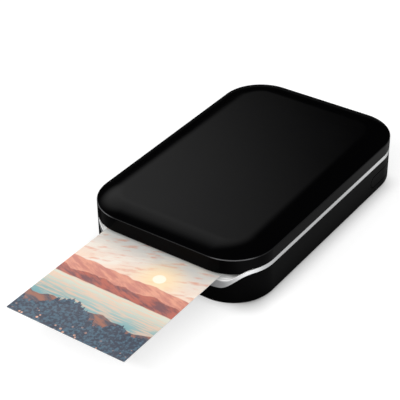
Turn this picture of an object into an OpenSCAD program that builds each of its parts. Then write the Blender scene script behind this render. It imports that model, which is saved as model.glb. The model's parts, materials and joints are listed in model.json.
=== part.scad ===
// Compact photo printer: a base tub, a trim band and a sliding cover over a tray and a print mechanism.
// The front, where the print comes out, faces -Y. The origin is the centre of the underside.

/* [Sheet] */
// Width of a sheet
sheet_w = 50.8; // [50:0.1:52]
// Length of a sheet
sheet_l = 76.2; // [75:0.1:78]
// Thickness of a sheet
sheet_t = 0.27; // [0.2:0.01:0.3]
// How far the print stands out of the front
sheet_out = 54; // [20:1:58]

/* [Body] */
// Room beside the sheet, out to the side face
side_bay = 12.1; // [12:0.1:14]
// Length of the print mechanism, from the front face to the tray
mech_l = 36.8; // [36.6:0.1:40]
// Room behind the tray, out to the back face
rear_bay = 2.5; // [2.5:0.1:6]
// Corner radius in plan
corner_r = 17.2; // [16:0.1:18]
// Height of the base shell
base_h = 13.3; // [13.2:0.1:14]
// Radius of the base's bottom edge
base_edge_r = 2.6; // [1.5:0.1:3]
// Wall of the base shell
wall = 1.5; // [1.2:0.1:1.6]
// Floor of the base shell
floor_t = 1.2; // [1:0.05:1.25]

/* [Trim band] */
// Height of the band along the sides and the back
band_h = 2.2; // [2:0.1:3]
// Thickness of the band
band_t = 1.5; // [1.2:0.1:1.6]
// Underside of the exit lip at the front
lip_bottom = 6.9; // [6:0.1:8]
// Top of the exit lip
lip_top = 10.8; // [10:0.1:11.2]
// Distance from the side face to the start of the band's sweep
sweep_start = 2.9; // [2.5:0.1:3.2]
// Width of the sweep along the band's lower edge
low_sweep_w = 9.1; // [7:0.1:11]
// Width of the sweep along the band's upper edge
top_sweep_w = 6.6; // [5:0.1:8]

/* [Cover] */
// Height of the cover's side above the band
skirt_h = 4.5; // [4.3:0.1:6]
// Rise of the crowned top above its edge
crown_h = 2; // [1.5:0.1:2.5]
// Width of the crown's curved shoulder
shoulder_w = 10; // [8:0.5:12]
// Edge radius where the crown meets the side
crease_r = 0.35; // [0.2:0.05:0.6]
// Wall of the cover
cover_wall = 1.4; // [1.2:0.1:1.5]
// Joint gap between the cover and the band
joint_gap = 0.12; // [0.1:0.01:0.2]
// Height of the exit slot's upper edge
slot_top = 13.7; // [13.6:0.1:14]
// Travel of the cover
cover_travel = 8.5; // [6:0.5:8.5]

/* [Power button] */
// Length of the pill-shaped key
key_l = 16.4; // [12:0.1:18]
// Height of the key
key_h = 4.8; // [4:0.1:5]
// Distance from the back face to the key's middle
key_setback = 18.7; // [17:0.1:20]
// Height of the key's middle
key_z = 6.7; // [6.5:0.1:7]
// Travel of the key
key_travel = 0.5; // [0.3:0.05:0.5]

/* [Feed] */
// Height of the paper deck
deck_z = 12.2; // [12:0.05:12.3]
// Radius of the platen roller and the pickup tyres
roller_r = 3.5; // [3.3:0.05:3.6]
// Radius of the roller shafts
shaft_r = 1; // [0.8:0.05:1.1]
// Distance from the front face to the platen
platen_setback = 16; // [15.5:0.1:16.2]
// Distance from the platen to the pickup shaft
pickup_setback = 31.8; // [31:0.1:32.6]
// Gear module
gear_m = 0.4; // [0.38:0.01:0.42]
// Teeth of the motor pinion
pinion_teeth = 12; // [11:1:13]
// Teeth of the small wheel that drives the platen
platen_drive_teeth = 12; // [12:1:14]
// Teeth of the platen gear
platen_teeth = 24; // [22:1:25]
// Teeth of the small wheel that drives the pickup
pickup_drive_teeth = 15; // [13:1:16]
// Teeth of the pickup gear
pickup_teeth = 30; // [28:1:31]
// Width of the gears in each layer
gear_w = 1.7; // [1.4:0.05:1.8]

/* [Chassis] */
// Thickness of the sheet steel
plate_t = 0.8; // [0.6:0.05:0.9]
// Height of the head's pivot pin
head_pin_z = 15.9; // [15.8:0.05:16]
// Radius of the head's pivot pin
head_pin_r = 0.8; // [0.7:0.05:0.9]

/* [Electronics] */
// Underside of the main board
board_z = 8.2; // [8:0.1:8.4]
// Thickness of the main board
board_t = 1; // [0.8:0.1:1.2]
// Battery length across the body
battery_w = 46; // [40:1:46]
// Battery width along the body
battery_l = 34; // [30:1:36]
// Battery thickness
battery_t = 5.2; // [4.5:0.1:5.4]
// Width of the charging socket
socket_w = 7.6; // [7:0.1:8.2]
// Height of the charging socket
socket_h = 2.7; // [2.6:0.1:2.9]

/* [Hidden] */

arc_fn = 96;
$fn = 48;
eps = 0.01;
// How far a cutter reaches past what it cuts
over = 1;

// Overall places
sheet_play = 0.25;
tray_l = sheet_l + 2 * sheet_play;
body_w = sheet_w + 2 * side_bay;
body_l = mech_l + tray_l + rear_bay;
front_y = -body_l / 2;
back_y = body_l / 2;
side_x = body_w / 2;
tray_y0 = front_y + mech_l;
tray_y1 = tray_y0 + tray_l;
arc_x = side_x - corner_r;
arc_y = back_y - corner_r;
band_top = base_h + band_h;
crease_z = band_top + skirt_h;
crown_z = crease_z + crown_h;
crown_r = (shoulder_w * shoulder_w + crown_h * crown_h) / (2 * crown_h);
inner_top = crown_z - cover_wall;
sweep_depth = 12;
sweep_y = front_y + sweep_depth;

// Running gaps: a shaft in its bore, faces that slide past each other, and faces that stay apart
slip = 0.05;
air = 0.1;
flat_gap = 0.3;

// Sheet path
sheet_z = deck_z + air;
sheet_top = sheet_z + sheet_t;
roller_z = deck_z - roller_r;
platen_y = front_y + platen_setback;
pickup_y = platen_y + pickup_setback;
slot_h = 0.7;
deck_t = 1;
deck_low = deck_z - deck_t;
sensor_x = -12;
sensor_y = platen_y + 6.3;
sensor_room = 1.6;
tyre_x = 12;
tyre_half = 3.5;

// Chassis and gear layers, from the sheet outwards along X
tray_wall = 0.9;
tray_front_t = 1.2;
pad_half_w = 5.1;
pad_h = 0.9;
tray_x = sheet_w / 2 + sheet_play + tray_wall;
plate_x = tray_x + flat_gap;
plate_out = plate_x + plate_t;
gear_air = 0.6;
layer_air = 0.35;
end_air = 0.15;
gear_x1 = plate_out + gear_air;
gear_x2 = gear_x1 + gear_w + layer_air;
stud_end = gear_x2 + gear_w + end_air;
stud_head = 0.5;
stud_head_r = 1.4;
stud_r = 0.8;
chassis_y0 = platen_y - 7.3;
chassis_y1 = pickup_y + 12.2;
ear_z = 6;
ear_x = plate_out + 2.3;
ear_half = 1.75;
// Clearance of a pressed seat, and how far shafts and bushes stand out of the plates
seat_gap = 0.02;
shaft_proud = 1.1;
pin_proud = 0.4;
bush_proud = 0.2;
bush_r = shaft_r + 0.88;
bush_flange_r = shaft_r + 1.3;
bush_flange_t = 0.6;
ear_front_y = chassis_y0 + 0.2;
ear_rear_y = chassis_y1 - 2;
boss_r = 1.7;
pilot_r = 0.6;
blind = 1;
screw_air = 0.6;
screw_end = floor_t + blind + screw_air;
screw_head_r = 1.5;
screw_head_h = 0.9;
driver_slot = 0.3;

// Gear centres in the YZ plane, as [y, z]
function pitch_r(teeth) = gear_m * teeth / 2;
function meet(a, ra, b, rb, side) =
    let (d = norm(b - a), u = (b - a) / d)
    let (s = (ra * ra - rb * rb + d * d) / (2 * d), h = sqrt(ra * ra - s * s))
    a + s * u + side * h * [-u[1], u[0]];
// The large wheels have as many teeth as the train needs to bridge the rollers and still bow up a little
bow = 1.2;
wheel_teeth = round(
    (pickup_setback + bow) / gear_m
    - pinion_teeth - (platen_drive_teeth + platen_teeth + pickup_drive_teeth + pickup_teeth) / 2
);
motor_r = 5;
motor_flat = 4;
motor_l = 18;
motor_x0 = plate_x - motor_l;
motor_shaft_r = 0.75;
motor_boss_r = 1.5;
motor_hole_off = 3;
motor_hole_l = 1.6;
motor_screw_l = 2.1;
motor_screw_head_r = 0.9;
motor_screw_head_h = 0.4;
motor_z = 6.6;
motor_c = [
    platen_y + pitch_r(pinion_teeth + wheel_teeth) + pitch_r(platen_drive_teeth + platen_teeth) - bow / 2,
    motor_z
];
platen_c = [platen_y, roller_z];
pickup_c = [pickup_y, roller_z];
wheel_a_c = meet(
    motor_c, pitch_r(pinion_teeth + wheel_teeth), platen_c, pitch_r(platen_drive_teeth + platen_teeth), -1
);
wheel_b_c = meet(
    motor_c, pitch_r(pinion_teeth + wheel_teeth), pickup_c, pitch_r(pickup_drive_teeth + pickup_teeth), 1
);

// Turn of a gear that meshes with the one at "from", which has a tooth at angle "turn"
function mesh_turn(from, teeth, turn, to, own_teeth) =
    let (line = atan2(to[1] - from[1], to[0] - from[0]), phase = (line - turn) * teeth / 360)
    line + 180 - (0.5 - phase) * 360 / own_teeth;
wheel_a_turn = mesh_turn(motor_c, pinion_teeth, 0, wheel_a_c, wheel_teeth);
wheel_b_turn = mesh_turn(motor_c, pinion_teeth, 0, wheel_b_c, wheel_teeth);
platen_turn = mesh_turn(wheel_a_c, platen_drive_teeth, wheel_a_turn, platen_c, platen_teeth);
pickup_turn = mesh_turn(wheel_b_c, pickup_drive_teeth, wheel_b_turn, pickup_c, pickup_teeth);

// Head
head_arm_l = 10.5;
head_pin_y = platen_y + head_arm_l;
head_boss_r = 1.6;
head_end_gap = 0.5;
bar_t = 0.93;
bar_half_l = 4;
bar_z = sheet_top + air;
carrier_z = bar_z + bar_t;
carrier_t = 1.6;
carrier_top = carrier_z + carrier_t;
carrier_half_l = 4.5;
carrier_inset = 2.4;
arm_t = 1.2;
fin_t = 0.8;
fin_pitch = 2;
fin_h = 1;
bridge_z = 17.6;
bridge_t = 0.6;
bridge_half_l = 3.5;
bridge_leg_t = 0.5;
bridge_leg_h = 3;
head_spring_x = 16;
head_spring_r = 1.6;
head_wire_r = 0.18;
spring_air = 0.02;
ribbon_t = 0.12;
ribbon_half_w = 3;
ribbon_x = -plate_out - 2.8;

// Tray and board fixings
fix_x = side_x - 7;
board_top = board_z + board_t;
tray_wall_top = band_top - flat_gap;
wing_y0 = chassis_y1 + 2;
board_y0 = wing_y0 + 0.5;
fix_ys = [board_y0 + 5, back_y - 12];
board_inset = wall + 2.1;
board_y1 = back_y - board_inset;
post_r = 2.2;

// Chips, connectors and battery
processor_c = [-7, board_y0 + 20.5];
processor_size = 10;
processor_h = 1;
radio_c = [12, board_y1 - 12.4];
radio_size = 12;
radio_h = 1.5;
power_chip_c = [16.5, board_y0 + 16];
power_chip_size = 5;
power_chip_h = 0.8;
board_margin = 0.2;
battery_plug = [3.5, 5];
motor_plug = [5, 2.8];
connector_h = 2.2;
connector_z = board_z - connector_h;
battery_x1 = battery_w / 2 - 4;
battery_y0 = board_y0 + 3.5;
motor_plug_x = battery_x1 - 0.5;
battery_z = floor_t + flat_gap;
lead_r = 0.4;
lead_pitch = 1.2;
lead_gap = 2.5;
lead_y = battery_y0 + 6.5;

// Key and rear panel
key_y = back_y - key_setback;
key_gap = 0.12;
flange_t = 0.8;
flange_in = wall + 0.15;
switch_x = side_x - 6.9;
switch_w = 3;
switch_half_l = 2.2;
power_switch_h = 2.9;
plunger_half_l = 1.2;
plunger_half_h = 0.8;
plunger_out = 0.6;
plunger_x0 = switch_x + 1.1;
panel_z = board_z - socket_h / 2 - 0.1;
socket_x = -9;
charge_x = socket_x + 7;
status_x = charge_x + 5;
reset_x = status_x + 5.5;
pipe_r = 0.75;
pipe_collar = 0.5;
pipe_l = 2.9;
reset_r = 0.6;
reset_y = back_y - wall - 2.4;
reset_switch_l = 3;
reset_switch_h = 2.7;
reset_half_w = 2;
socket_inset = 0.4;
socket_l = 6;
socket_t = 0.3;
socket_depth = 5.4;

// Pressure plate, hung under the cover
hang_y = pickup_y + 28.2;
hang_z = inner_top - 2.2;
hang_pin_r = 0.8;
hang_ear_r = 1.6;
hang_ear_half = 0.6;
press_t = 0.7;
press_air = 0.18;
press_low = sheet_top + press_air;
press_tip_y = pickup_y - 2;
press_tip_rise = 0.4;
press_flat_l = 4.7;
press_half_w = 19;
hang_ear_x = press_half_w - 3;
press_spring_x = 11;
press_spring_y = pickup_y + 7.2;
press_seat_z = press_low + 2.85;
press_seat_r = 2.8;
press_spring_r = 2;
press_wire_r = 0.2;

// Cover guides
rail_in = 2.9;
lug_t = 1;
lug_l = 6;
lug_z0 = base_h + 0.8;
toe_h = 0.6;
toe_w = 0.9;
lug_ys = [tray_y0 - 0.8, back_y - 32];
rail_y = arc_y - 3;
groove_top = lug_z0 + toe_h + 0.2;
groove_x = side_x - rail_in + toe_w + air;
lug_room = 0.4;

// ---- Curves and shared shapes ----

function ease(t) = (1 - cos(180 * min(1, max(0, t)))) / 2;
function low_edge(x) =
    lip_bottom + (base_h - lip_bottom) * ease((abs(x) - side_x + sweep_start + low_sweep_w) / low_sweep_w);
function top_edge(x) =
    lip_top + (band_top - lip_top) * ease((abs(x) - side_x + sweep_start + top_sweep_w) / top_sweep_w);
function cover_edge(x) = max(slot_top, top_edge(x) + joint_gap);
sweep_xs = [for (i = [0:14]) side_x - sweep_start + 0.2 - (low_sweep_w + 0.4) * i / 14];
edge_xs = concat([side_x + 2], sweep_xs, [for (i = [14:-1:0]) -sweep_xs[i]], [-side_x - 2]);

// Plan of the body, pulled in by a distance
module plan(inset = 0) {
    r = corner_r - inset;
    square([2 * arc_x, 2 * (arc_y + r)], center = true);
    square([2 * (arc_x + r), 2 * arc_y], center = true);
    for (sx = [-1, 1], sy = [-1, 1])
        translate([sx * arc_x, sy * arc_y]) circle(r, $fn = arc_fn);
}

// Strip of the plan between two insets
module plan_ring(outer, inner) {
    difference() {
        plan(outer);
        plan(inner);
    }
}

// Runs a half section round the body. Its x is measured outwards from the corner arcs' centres.
module around_plan(z0, z1) {
    for (i = [0:3])
        translate([(i == 0 || i == 3 ? 1 : -1) * arc_x, (i < 2 ? 1 : -1) * arc_y, 0])
            rotate(90 * i) rotate_extrude(angle = 90, $fn = arc_fn) children();
    for (turn = [0, 180])
        rotate(turn) {
            translate([0, arc_y, 0]) rotate([90, 0, 90])
                linear_extrude(2 * arc_x, center = true) children();
            translate([arc_x, 0, 0]) rotate([90, 0, 0])
                linear_extrude(2 * arc_y, center = true) children();
        }
    translate([-arc_x, -arc_y, z0]) cube([2 * arc_x, 2 * arc_y, z1 - z0]);
}

// Half section of a tub with a rounded bottom edge
module tub_section(r, z0, z1, edge) {
    difference() {
        translate([0, z0]) square([r, z1 - z0]);
        difference() {
            translate([r - edge, z0 - 1]) square([edge + 1, edge + 1]);
            translate([r - edge, z0 + edge]) circle(edge, $fn = arc_fn);
        }
    }
}

// Half section under the crown, pulled in by a distance, with its outer edge rounded
module crown_section(z0, inset) {
    r = corner_r - inset;
    flat = corner_r - shoulder_w;
    arc_c = [flat, crown_z - crown_r];
    arc_r = crown_r - inset;
    // Centre of the edge's round, which touches the side and the crown's arc
    edge_c = arc_c + [r - crease_r - flat, sqrt(pow(arc_r - crease_r, 2) - pow(r - crease_r - flat, 2))];
    touch = edge_c + crease_r * (edge_c - arc_c) / norm(edge_c - arc_c);
    translate([0, z0]) square([flat, crown_z - inset - z0]);
    difference() {
        intersection() {
            translate([flat, z0]) square([r - flat, crown_z - z0]);
            translate(arc_c) circle(arc_r, $fn = 360);
        }
        difference() {
            polygon([edge_c, [r + 1, edge_c[1]], [r + 1, touch[1] + 1], touch + (touch - edge_c)]);
            translate(edge_c) circle(crease_r, $fn = arc_fn);
        }
    }
}

// Prism along Y, as wide as the body, that fills the front view below or above a curve
module front_fill(heights, limit) {
    points = concat(
        [for (i = [0:len(edge_xs) - 1]) [edge_xs[i], heights[i]]],
        [[-side_x - 2, limit], [side_x + 2, limit]]
    );
    translate([0, sweep_y, 0]) rotate([90, 0, 0]) linear_extrude(sweep_depth + 2) polygon(points);
}

// Prism along X with its outline in Y and Z
module across(x0, x1) {
    translate([x0, 0, 0]) rotate([90, 0, 90]) linear_extrude(x1 - x0) children();
}

// Round bar or hole along X at [y, z]
module x_rod(x0, x1, c, r) {
    translate([x0, c[0], c[1]]) rotate([0, 90, 0]) cylinder(h = x1 - x0, r = r);
}

module y_rod(y0, y1, x, z, r) {
    translate([x, y1, z]) rotate([90, 0, 0]) cylinder(h = y1 - y0, r = r);
}

module z_rod(x, y, z0, z1, r) {
    translate([x, y, z0]) cylinder(h = z1 - z0, r = r);
}

module block(x0, x1, y0, y1, z0, z1) {
    translate([x0, y0, z0]) cube([x1 - x0, y1 - y0, z1 - z0]);
}

module mirrored_x() {
    children();
    mirror([1, 0, 0]) children();
}

// Pill outline in Y and Z
module pill(length, height) {
    square([length - height, height], center = true);
    for (s = [-1, 1]) translate([s * (length - height) / 2, 0]) circle(height / 2);
}

// Screw that points down, with its head's underside at z
module screw(x, y, z, length, head_r = screw_head_r, head_h = screw_head_h) {
    difference() {
        translate([x, y, z - length]) {
            cylinder(h = length + eps, r = pilot_r);
            translate([0, 0, length]) cylinder(h = head_h, r = head_r);
        }
        for (turn = [0, 90])
            translate([x, y, z + head_h]) rotate(turn)
                cube([head_r * 1.2, driver_slot, head_h], center = true);
    }
}

// Involute gear profile, with a tooth on the +X axis
module gear_profile(teeth) {
    pressure = 20;
    backlash = 0.1;
    pr = pitch_r(teeth);
    base_r = pr * cos(pressure);
    root_r = pr - 1.2 * gear_m;
    tip_r = pr + 0.85 * gear_m;
    foot_r = max(base_r, root_r + 0.1 * gear_m);
    radii = [root_r, foot_r, (foot_r + pr) / 2, pr, (pr + tip_r) / 2, tip_r];
    function roll(r) = let (a = acos(min(1, base_r / max(r, base_r)))) tan(a) * 180 / PI - a;
    function half(r) = 90 / teeth * (1 - backlash) + roll(pr) - roll(r);
    polygon([
        for (t = [0:teeth - 1], s = [-1, 1], i = [0:5])
            let (r = radii[s < 0 ? i : 5 - i], a = t * 360 / teeth + s * half(r)) r * [cos(a), sin(a)]
    ]);
}

// Gear on an axis along X, turned so that a tooth points at an angle in the YZ plane
module gear(x0, c, teeth, turn, bore) {
    translate([x0, c[0], c[1]]) rotate([90, 0, 90]) linear_extrude(gear_w)
        difference() {
            rotate(turn) gear_profile(teeth);
            circle(bore);
        }
}

// Round tube of flat facets along a path
module tube(path, r, ref = [0, 0, 1], sides = 6) {
    last = len(path) - 1;
    function unit(v) = v / norm(v);
    points = [
        for (i = [0:last])
            let (
                t = unit(path[min(i + 1, last)] - path[max(i - 1, 0)]),
                u = unit(cross(ref, t)),
                v = cross(t, u)
            )
            for (k = [0:sides - 1]) path[i] + r * (cos(360 * k / sides) * u + sin(360 * k / sides) * v)
    ];
    walls = [
        for (i = [0:last - 1], k = [0:sides - 1])
            let (a = i * sides + k, b = i * sides + (k + 1) % sides)
            for (f = [[a, a + sides, b], [b, a + sides, b + sides]]) f
    ];
    caps = [[for (k = [0:sides - 1]) k], [for (k = [sides - 1:-1:0]) last * sides + k]];
    polyhedron(points, concat(walls, caps));
}

// Compression spring that stands on z0 and ends at z1
module coil_spring(x, y, z0, z1, r, wire, turns) {
    steps = 12;
    rise = z1 - z0 - 2 * wire;
    tube(
        [
            for (i = [0:turns * steps])
                let (a = i * 360 / steps)
                [x + r * cos(a), y + r * sin(a), z0 + wire + rise * i / (turns * steps)]
        ],
        wire
    );
}

// ---- Housing ----

module base_shell() {
    color([0.11, 0.11, 0.12])
        difference() {
            union() {
                difference() {
                    around_plan(0, base_h) tub_section(corner_r, 0, base_h, base_edge_r);
                    around_plan(floor_t, base_h + over)
                        tub_section(corner_r - wall, floor_t, base_h + over, base_edge_r - wall / 2);
                    front_fill([for (x = edge_xs) low_edge(x)], base_h + over);
                }
                for (sx = [-1, 1]) {
                    for (y = [ear_front_y, ear_rear_y]) z_rod(sx * ear_x, y, floor_t - eps, ear_z, boss_r);
                    for (y = fix_ys) z_rod(sx * fix_x, y, floor_t - eps, board_z, post_r);
                }
            }
            for (sx = [-1, 1]) {
                for (y = [ear_front_y, ear_rear_y])
                    z_rod(sx * ear_x, y, floor_t + blind, ear_z + over, pilot_r);
                for (y = fix_ys) z_rod(sx * fix_x, y, floor_t + blind, board_z + over, pilot_r);
            }
            across(side_x - corner_r / 2, side_x + over)
                translate([key_y, key_z]) pill(key_l + 2 * key_gap, key_h + 2 * key_gap);
            translate([socket_x, back_y + over, panel_z]) rotate([90, 0, 0]) linear_extrude(wall + 2 * over)
                pill(socket_w + 2 * flat_gap, socket_h + 2 * flat_gap);
            for (x = [charge_x, status_x])
                y_rod(back_y - wall - over, back_y + over, x, panel_z, pipe_r + slip);
            y_rod(back_y - wall - over, back_y + over, reset_x, panel_z, reset_r);
        }
}

module trim_band() {
    color([0.78, 0.79, 0.8])
        union() {
            difference() {
                translate([0, 0, lip_bottom - over]) linear_extrude(band_top - lip_bottom + over)
                    plan_ring(0, band_t);
                front_fill([for (x = edge_xs) top_edge(x)], band_top + over);
                front_fill([for (x = edge_xs) low_edge(x)], 0);
                block(-side_x - over, side_x + over, sweep_y, back_y + over, lip_bottom - 2 * over, base_h);
            }
            mirrored_x() guide_rail();
            exit_ramp();
        }
}

// Rail inside the band's side that sits on the base's wall. The cover's lugs enter its groove from above.
module guide_rail() {
    rail_x = side_x - rail_in;
    tongue = 1;
    difference() {
        block(rail_x, side_x - band_t + eps, -rail_y, rail_y, base_h - tongue, band_top - air);
        block(side_x - band_t - eps, side_x, -rail_y - over, rail_y + over, base_h - 2 * tongue, base_h);
        block(rail_x - over, groove_x, -rail_y - over, rail_y + over, lug_z0 - 2 * air, groove_top);
        for (y = [for (lug_y = lug_ys) lug_y - cover_travel])
            block(rail_x - over, groove_x, y - lug_l / 2 - lug_room, y + lug_l / 2 + lug_room,
                groove_top - eps, band_top + over);
    }
}

// Inner part of the lip: a ramp that the print runs out over, between cheeks that follow the band's sweep
module exit_ramp() {
    half = side_x - sweep_start - top_sweep_w + 1.2;
    ramp_end = chassis_y0 - 0.2;
    skin = 1;
    lip_y = front_y + band_t - eps;
    lip_half = side_x - sweep_start - low_sweep_w;
    across(-half, half)
        polygon([
            [lip_y, lip_top], [ramp_end, deck_z - air],
            [ramp_end, deck_z - air - skin], [lip_y, lip_top - skin]
        ]);
    across(-lip_half, lip_half)
        polygon([
            [lip_y, lip_bottom + 0.4], [lip_y, lip_top - skin + eps],
            [front_y + band_t + 2 * skin, lip_top - skin + eps], [front_y + band_t + skin, lip_bottom + 0.4]
        ]);
    intersection() {
        translate([0, ramp_end, 0]) rotate([90, 0, 0]) linear_extrude(ramp_end - front_y)
            polygon(concat(
                [for (x = edge_xs) [x, top_edge(x)]],
                [for (i = [len(edge_xs) - 1:-1:0]) [edge_xs[i], top_edge(edge_xs[i]) - skin]]
            ));
        linear_extrude(crown_z) difference() {
            plan(band_t - eps);
            square([2 * (side_x - sweep_start - top_sweep_w), 2 * body_l], center = true);
        }
    }
}

module top_cover() {
    color([0.06, 0.06, 0.065])
        difference() {
            union() {
                difference() {
                    around_plan(slot_top, crown_z) crown_section(slot_top, 0);
                    around_plan(slot_top - over, inner_top) crown_section(slot_top - over, cover_wall);
                    front_fill([for (x = edge_xs) cover_edge(x)], 0);
                    block(-side_x - over, side_x + over, sweep_y, back_y + over, 0, band_top + joint_gap);
                }
                mirrored_x() for (y = lug_ys) cover_lug(y);
                for (sx = [-1, 1])
                    across(sx * hang_ear_x - hang_ear_half, sx * hang_ear_x + hang_ear_half) {
                        translate([hang_y, hang_z]) circle(hang_ear_r);
                        translate([hang_y - hang_ear_r, hang_z])
                            square([2 * hang_ear_r, inner_top - hang_z + eps]);
                    }
            }
            x_rod(-press_half_w, press_half_w, [hang_y, hang_z], hang_pin_r + seat_gap);
        }
}

// Guide lug on the cover's side: a web off the wall, a leg and a toe that runs in the band's groove
module cover_lug(y) {
    leg_x = side_x - rail_in - flat_gap;
    web_z0 = band_top + 0.4;
    web_z1 = band_top + 1.6;
    module slab(x0, x1, z0, z1) {
        block(x0, x1, y - lug_l / 2, y + lug_l / 2, z0, z1);
    }
    slab(leg_x - lug_t, leg_x, lug_z0, web_z1);
    slab(leg_x - lug_t, side_x - cover_wall + 0.2, web_z0, web_z1);
    slab(leg_x - eps, groove_x - 2 * air, lug_z0, lug_z0 + toe_h);
}

// ---- Keys, lamps and sockets ----

module power_button() {
    key_x0 = side_x - corner_r / 2;
    flange_rim = 0.8;
    stem_half = 1;
    stem_x = switch_x + switch_w - plunger_out + 0.7;
    color([0.1, 0.1, 0.11])
        union() {
            intersection() {
                across(key_x0, side_x + over) translate([key_y, key_z]) pill(key_l, key_h);
                linear_extrude(base_h) plan_ring(0, flange_in + eps);
            }
            intersection() {
                across(key_x0, side_x + over)
                    translate([key_y, key_z]) pill(key_l + 2 * flange_rim, key_h + 2 * flange_rim);
                linear_extrude(base_h) plan_ring(flange_in, flange_in + flange_t);
            }
            block(stem_x, side_x - flange_in - flange_t + eps, key_y - stem_half, key_y + stem_half,
                key_z - stem_half, key_z + stem_half);
        }
}

module power_switch() {
    x0 = switch_x - plunger_out;
    color([0.2, 0.2, 0.22])
        difference() {
            block(x0, x0 + switch_w, key_y - switch_half_l, key_y + switch_half_l,
                board_z - power_switch_h, board_z);
            block(plunger_x0 - flat_gap - key_travel, x0 + switch_w + over,
                key_y - plunger_half_l - slip, key_y + plunger_half_l + slip,
                key_z - plunger_half_h - slip, key_z + plunger_half_h + slip);
        }
}

module power_plunger() {
    color([0.85, 0.85, 0.82])
        block(plunger_x0, switch_x + switch_w, key_y - plunger_half_l, key_y + plunger_half_l,
            key_z - plunger_half_h, key_z + plunger_half_h);
}

module reset_switch() {
    color([0.2, 0.2, 0.22])
        difference() {
            block(reset_x - reset_half_w, reset_x + reset_half_w, reset_y - reset_switch_l, reset_y,
                board_z - reset_switch_h, board_z);
            y_rod(reset_y - 2, reset_y + over, reset_x, panel_z, reset_r + slip);
        }
}

module reset_button() {
    color([0.85, 0.85, 0.82]) y_rod(reset_y - 1.5, reset_y + 0.9, reset_x, panel_z, reset_r);
}

// Steel shell that opens at the back, with a tongue inside and a foot up to the board
module charging_socket() {
    y0 = back_y - socket_inset - socket_l;
    foot_y = back_y - socket_inset - wall - 0.9;
    foot_half = socket_w / 2 - 0.8;
    tongue_half_w = 2.4;
    tongue_half_h = 0.3;
    color([0.75, 0.76, 0.78])
        difference() {
            union() {
                translate([socket_x, back_y - socket_inset, panel_z]) rotate([90, 0, 0])
                    linear_extrude(socket_l) pill(socket_w, socket_h);
                block(socket_x - foot_half, socket_x + foot_half, y0, foot_y, panel_z, board_z);
            }
            translate([socket_x, back_y - socket_inset + 1, panel_z]) rotate([90, 0, 0])
                linear_extrude(socket_depth) pill(socket_w - 2 * socket_t, socket_h - 2 * socket_t);
        }
    color([0.1, 0.1, 0.1])
        block(socket_x - tongue_half_w, socket_x + tongue_half_w, y0 + 1.5, back_y - 1.4,
            panel_z - tongue_half_h, panel_z + tongue_half_h);
}

module light_pipes() {
    color([0.9, 0.9, 0.88])
        for (x = [charge_x, status_x]) {
            y_rod(back_y - pipe_l, back_y, x, panel_z, pipe_r);
            y_rod(back_y - pipe_l, back_y - wall, x, panel_z, pipe_r + pipe_collar);
        }
}

module indicator_lamps() {
    lamp_l = 1;
    lamp_half_w = 0.8;
    lamp_y1 = back_y - pipe_l - flat_gap;
    color([0.95, 0.93, 0.8])
        for (x = [charge_x, status_x])
            block(x - lamp_half_w, x + lamp_half_w, lamp_y1 - lamp_l, lamp_y1, panel_z - 0.5, board_z);
}

// ---- Tray ----

module paper_tray() {
    front = tray_y0 - tray_front_t;
    window_half = roller_r - 0.3;
    color([0.16, 0.16, 0.17])
        difference() {
            intersection() {
                union() {
                    block(-tray_x, tray_x, front, back_y, deck_low, deck_z);
                    for (s = [-1, 1]) {
                        x0 = s > 0 ? tray_x - tray_wall : -tray_x;
                        block(x0, x0 + tray_wall, front, back_y, deck_low, tray_wall_top);
                    }
                    block(-tray_x, tray_x, front, tray_y0, deck_z + slot_h, tray_wall_top);
                    block(-tray_x, tray_x, tray_y1, back_y, deck_low, tray_wall_top);
                    difference() {
                        block(-side_x, side_x, wing_y0, back_y, deck_low, deck_z);
                        mirrored_x()
                            block(side_x - rail_in - flat_gap, side_x, 0, back_y,
                                deck_z - 2 * air, deck_z + 1);
                    }
                    for (sx = [-1, 1], y = fix_ys) z_rod(sx * fix_x, y, board_top, deck_low + eps, post_r);
                }
                linear_extrude(band_top) plan(wall + 2 * air);
            }
            for (sx = [-1, 1], y = fix_ys)
                z_rod(sx * fix_x, y, board_top - over, deck_z + over, pilot_r + flat_gap);
            for (sx = [-1, 1])
                block(sx * tyre_x - tyre_half - 0.4, sx * tyre_x + tyre_half + 0.4,
                    pickup_y - window_half, pickup_y + window_half, deck_low - over, deck_z + over);
            block(-pad_half_w, pad_half_w, front - over, tray_y0 + over, deck_z, deck_z + slot_h + pad_h);
        }
}

module separator_pad() {
    color([0.35, 0.2, 0.15])
        block(-pad_half_w, pad_half_w, tray_y0 - tray_front_t, tray_y0,
            deck_z + slot_h - air, deck_z + slot_h + pad_h);
}

module tray_screws() {
    color([0.6, 0.6, 0.62])
        for (sx = [-1, 1], y = fix_ys) screw(sx * fix_x, y, deck_z, deck_z - screw_end);
}

// ---- Chassis ----

// Side plate: a foot along the floor, a high end that holds the head and a low end beside the tray
module side_plate() {
    toe = ear_front_y - ear_half - slip;
    step = ear_z + plate_t;
    neck_y = chassis_y1 - 5;
    beside = deck_z + flat_gap;
    polygon([
        [toe, floor_t], [chassis_y1, floor_t], [chassis_y1, step], [neck_y, step], [neck_y, beside],
        [tray_y0 + 1.2, beside], [head_pin_y + 3, bridge_z],
        [chassis_y0, bridge_z], [chassis_y0, step], [toe, step]
    ]);
}

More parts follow.
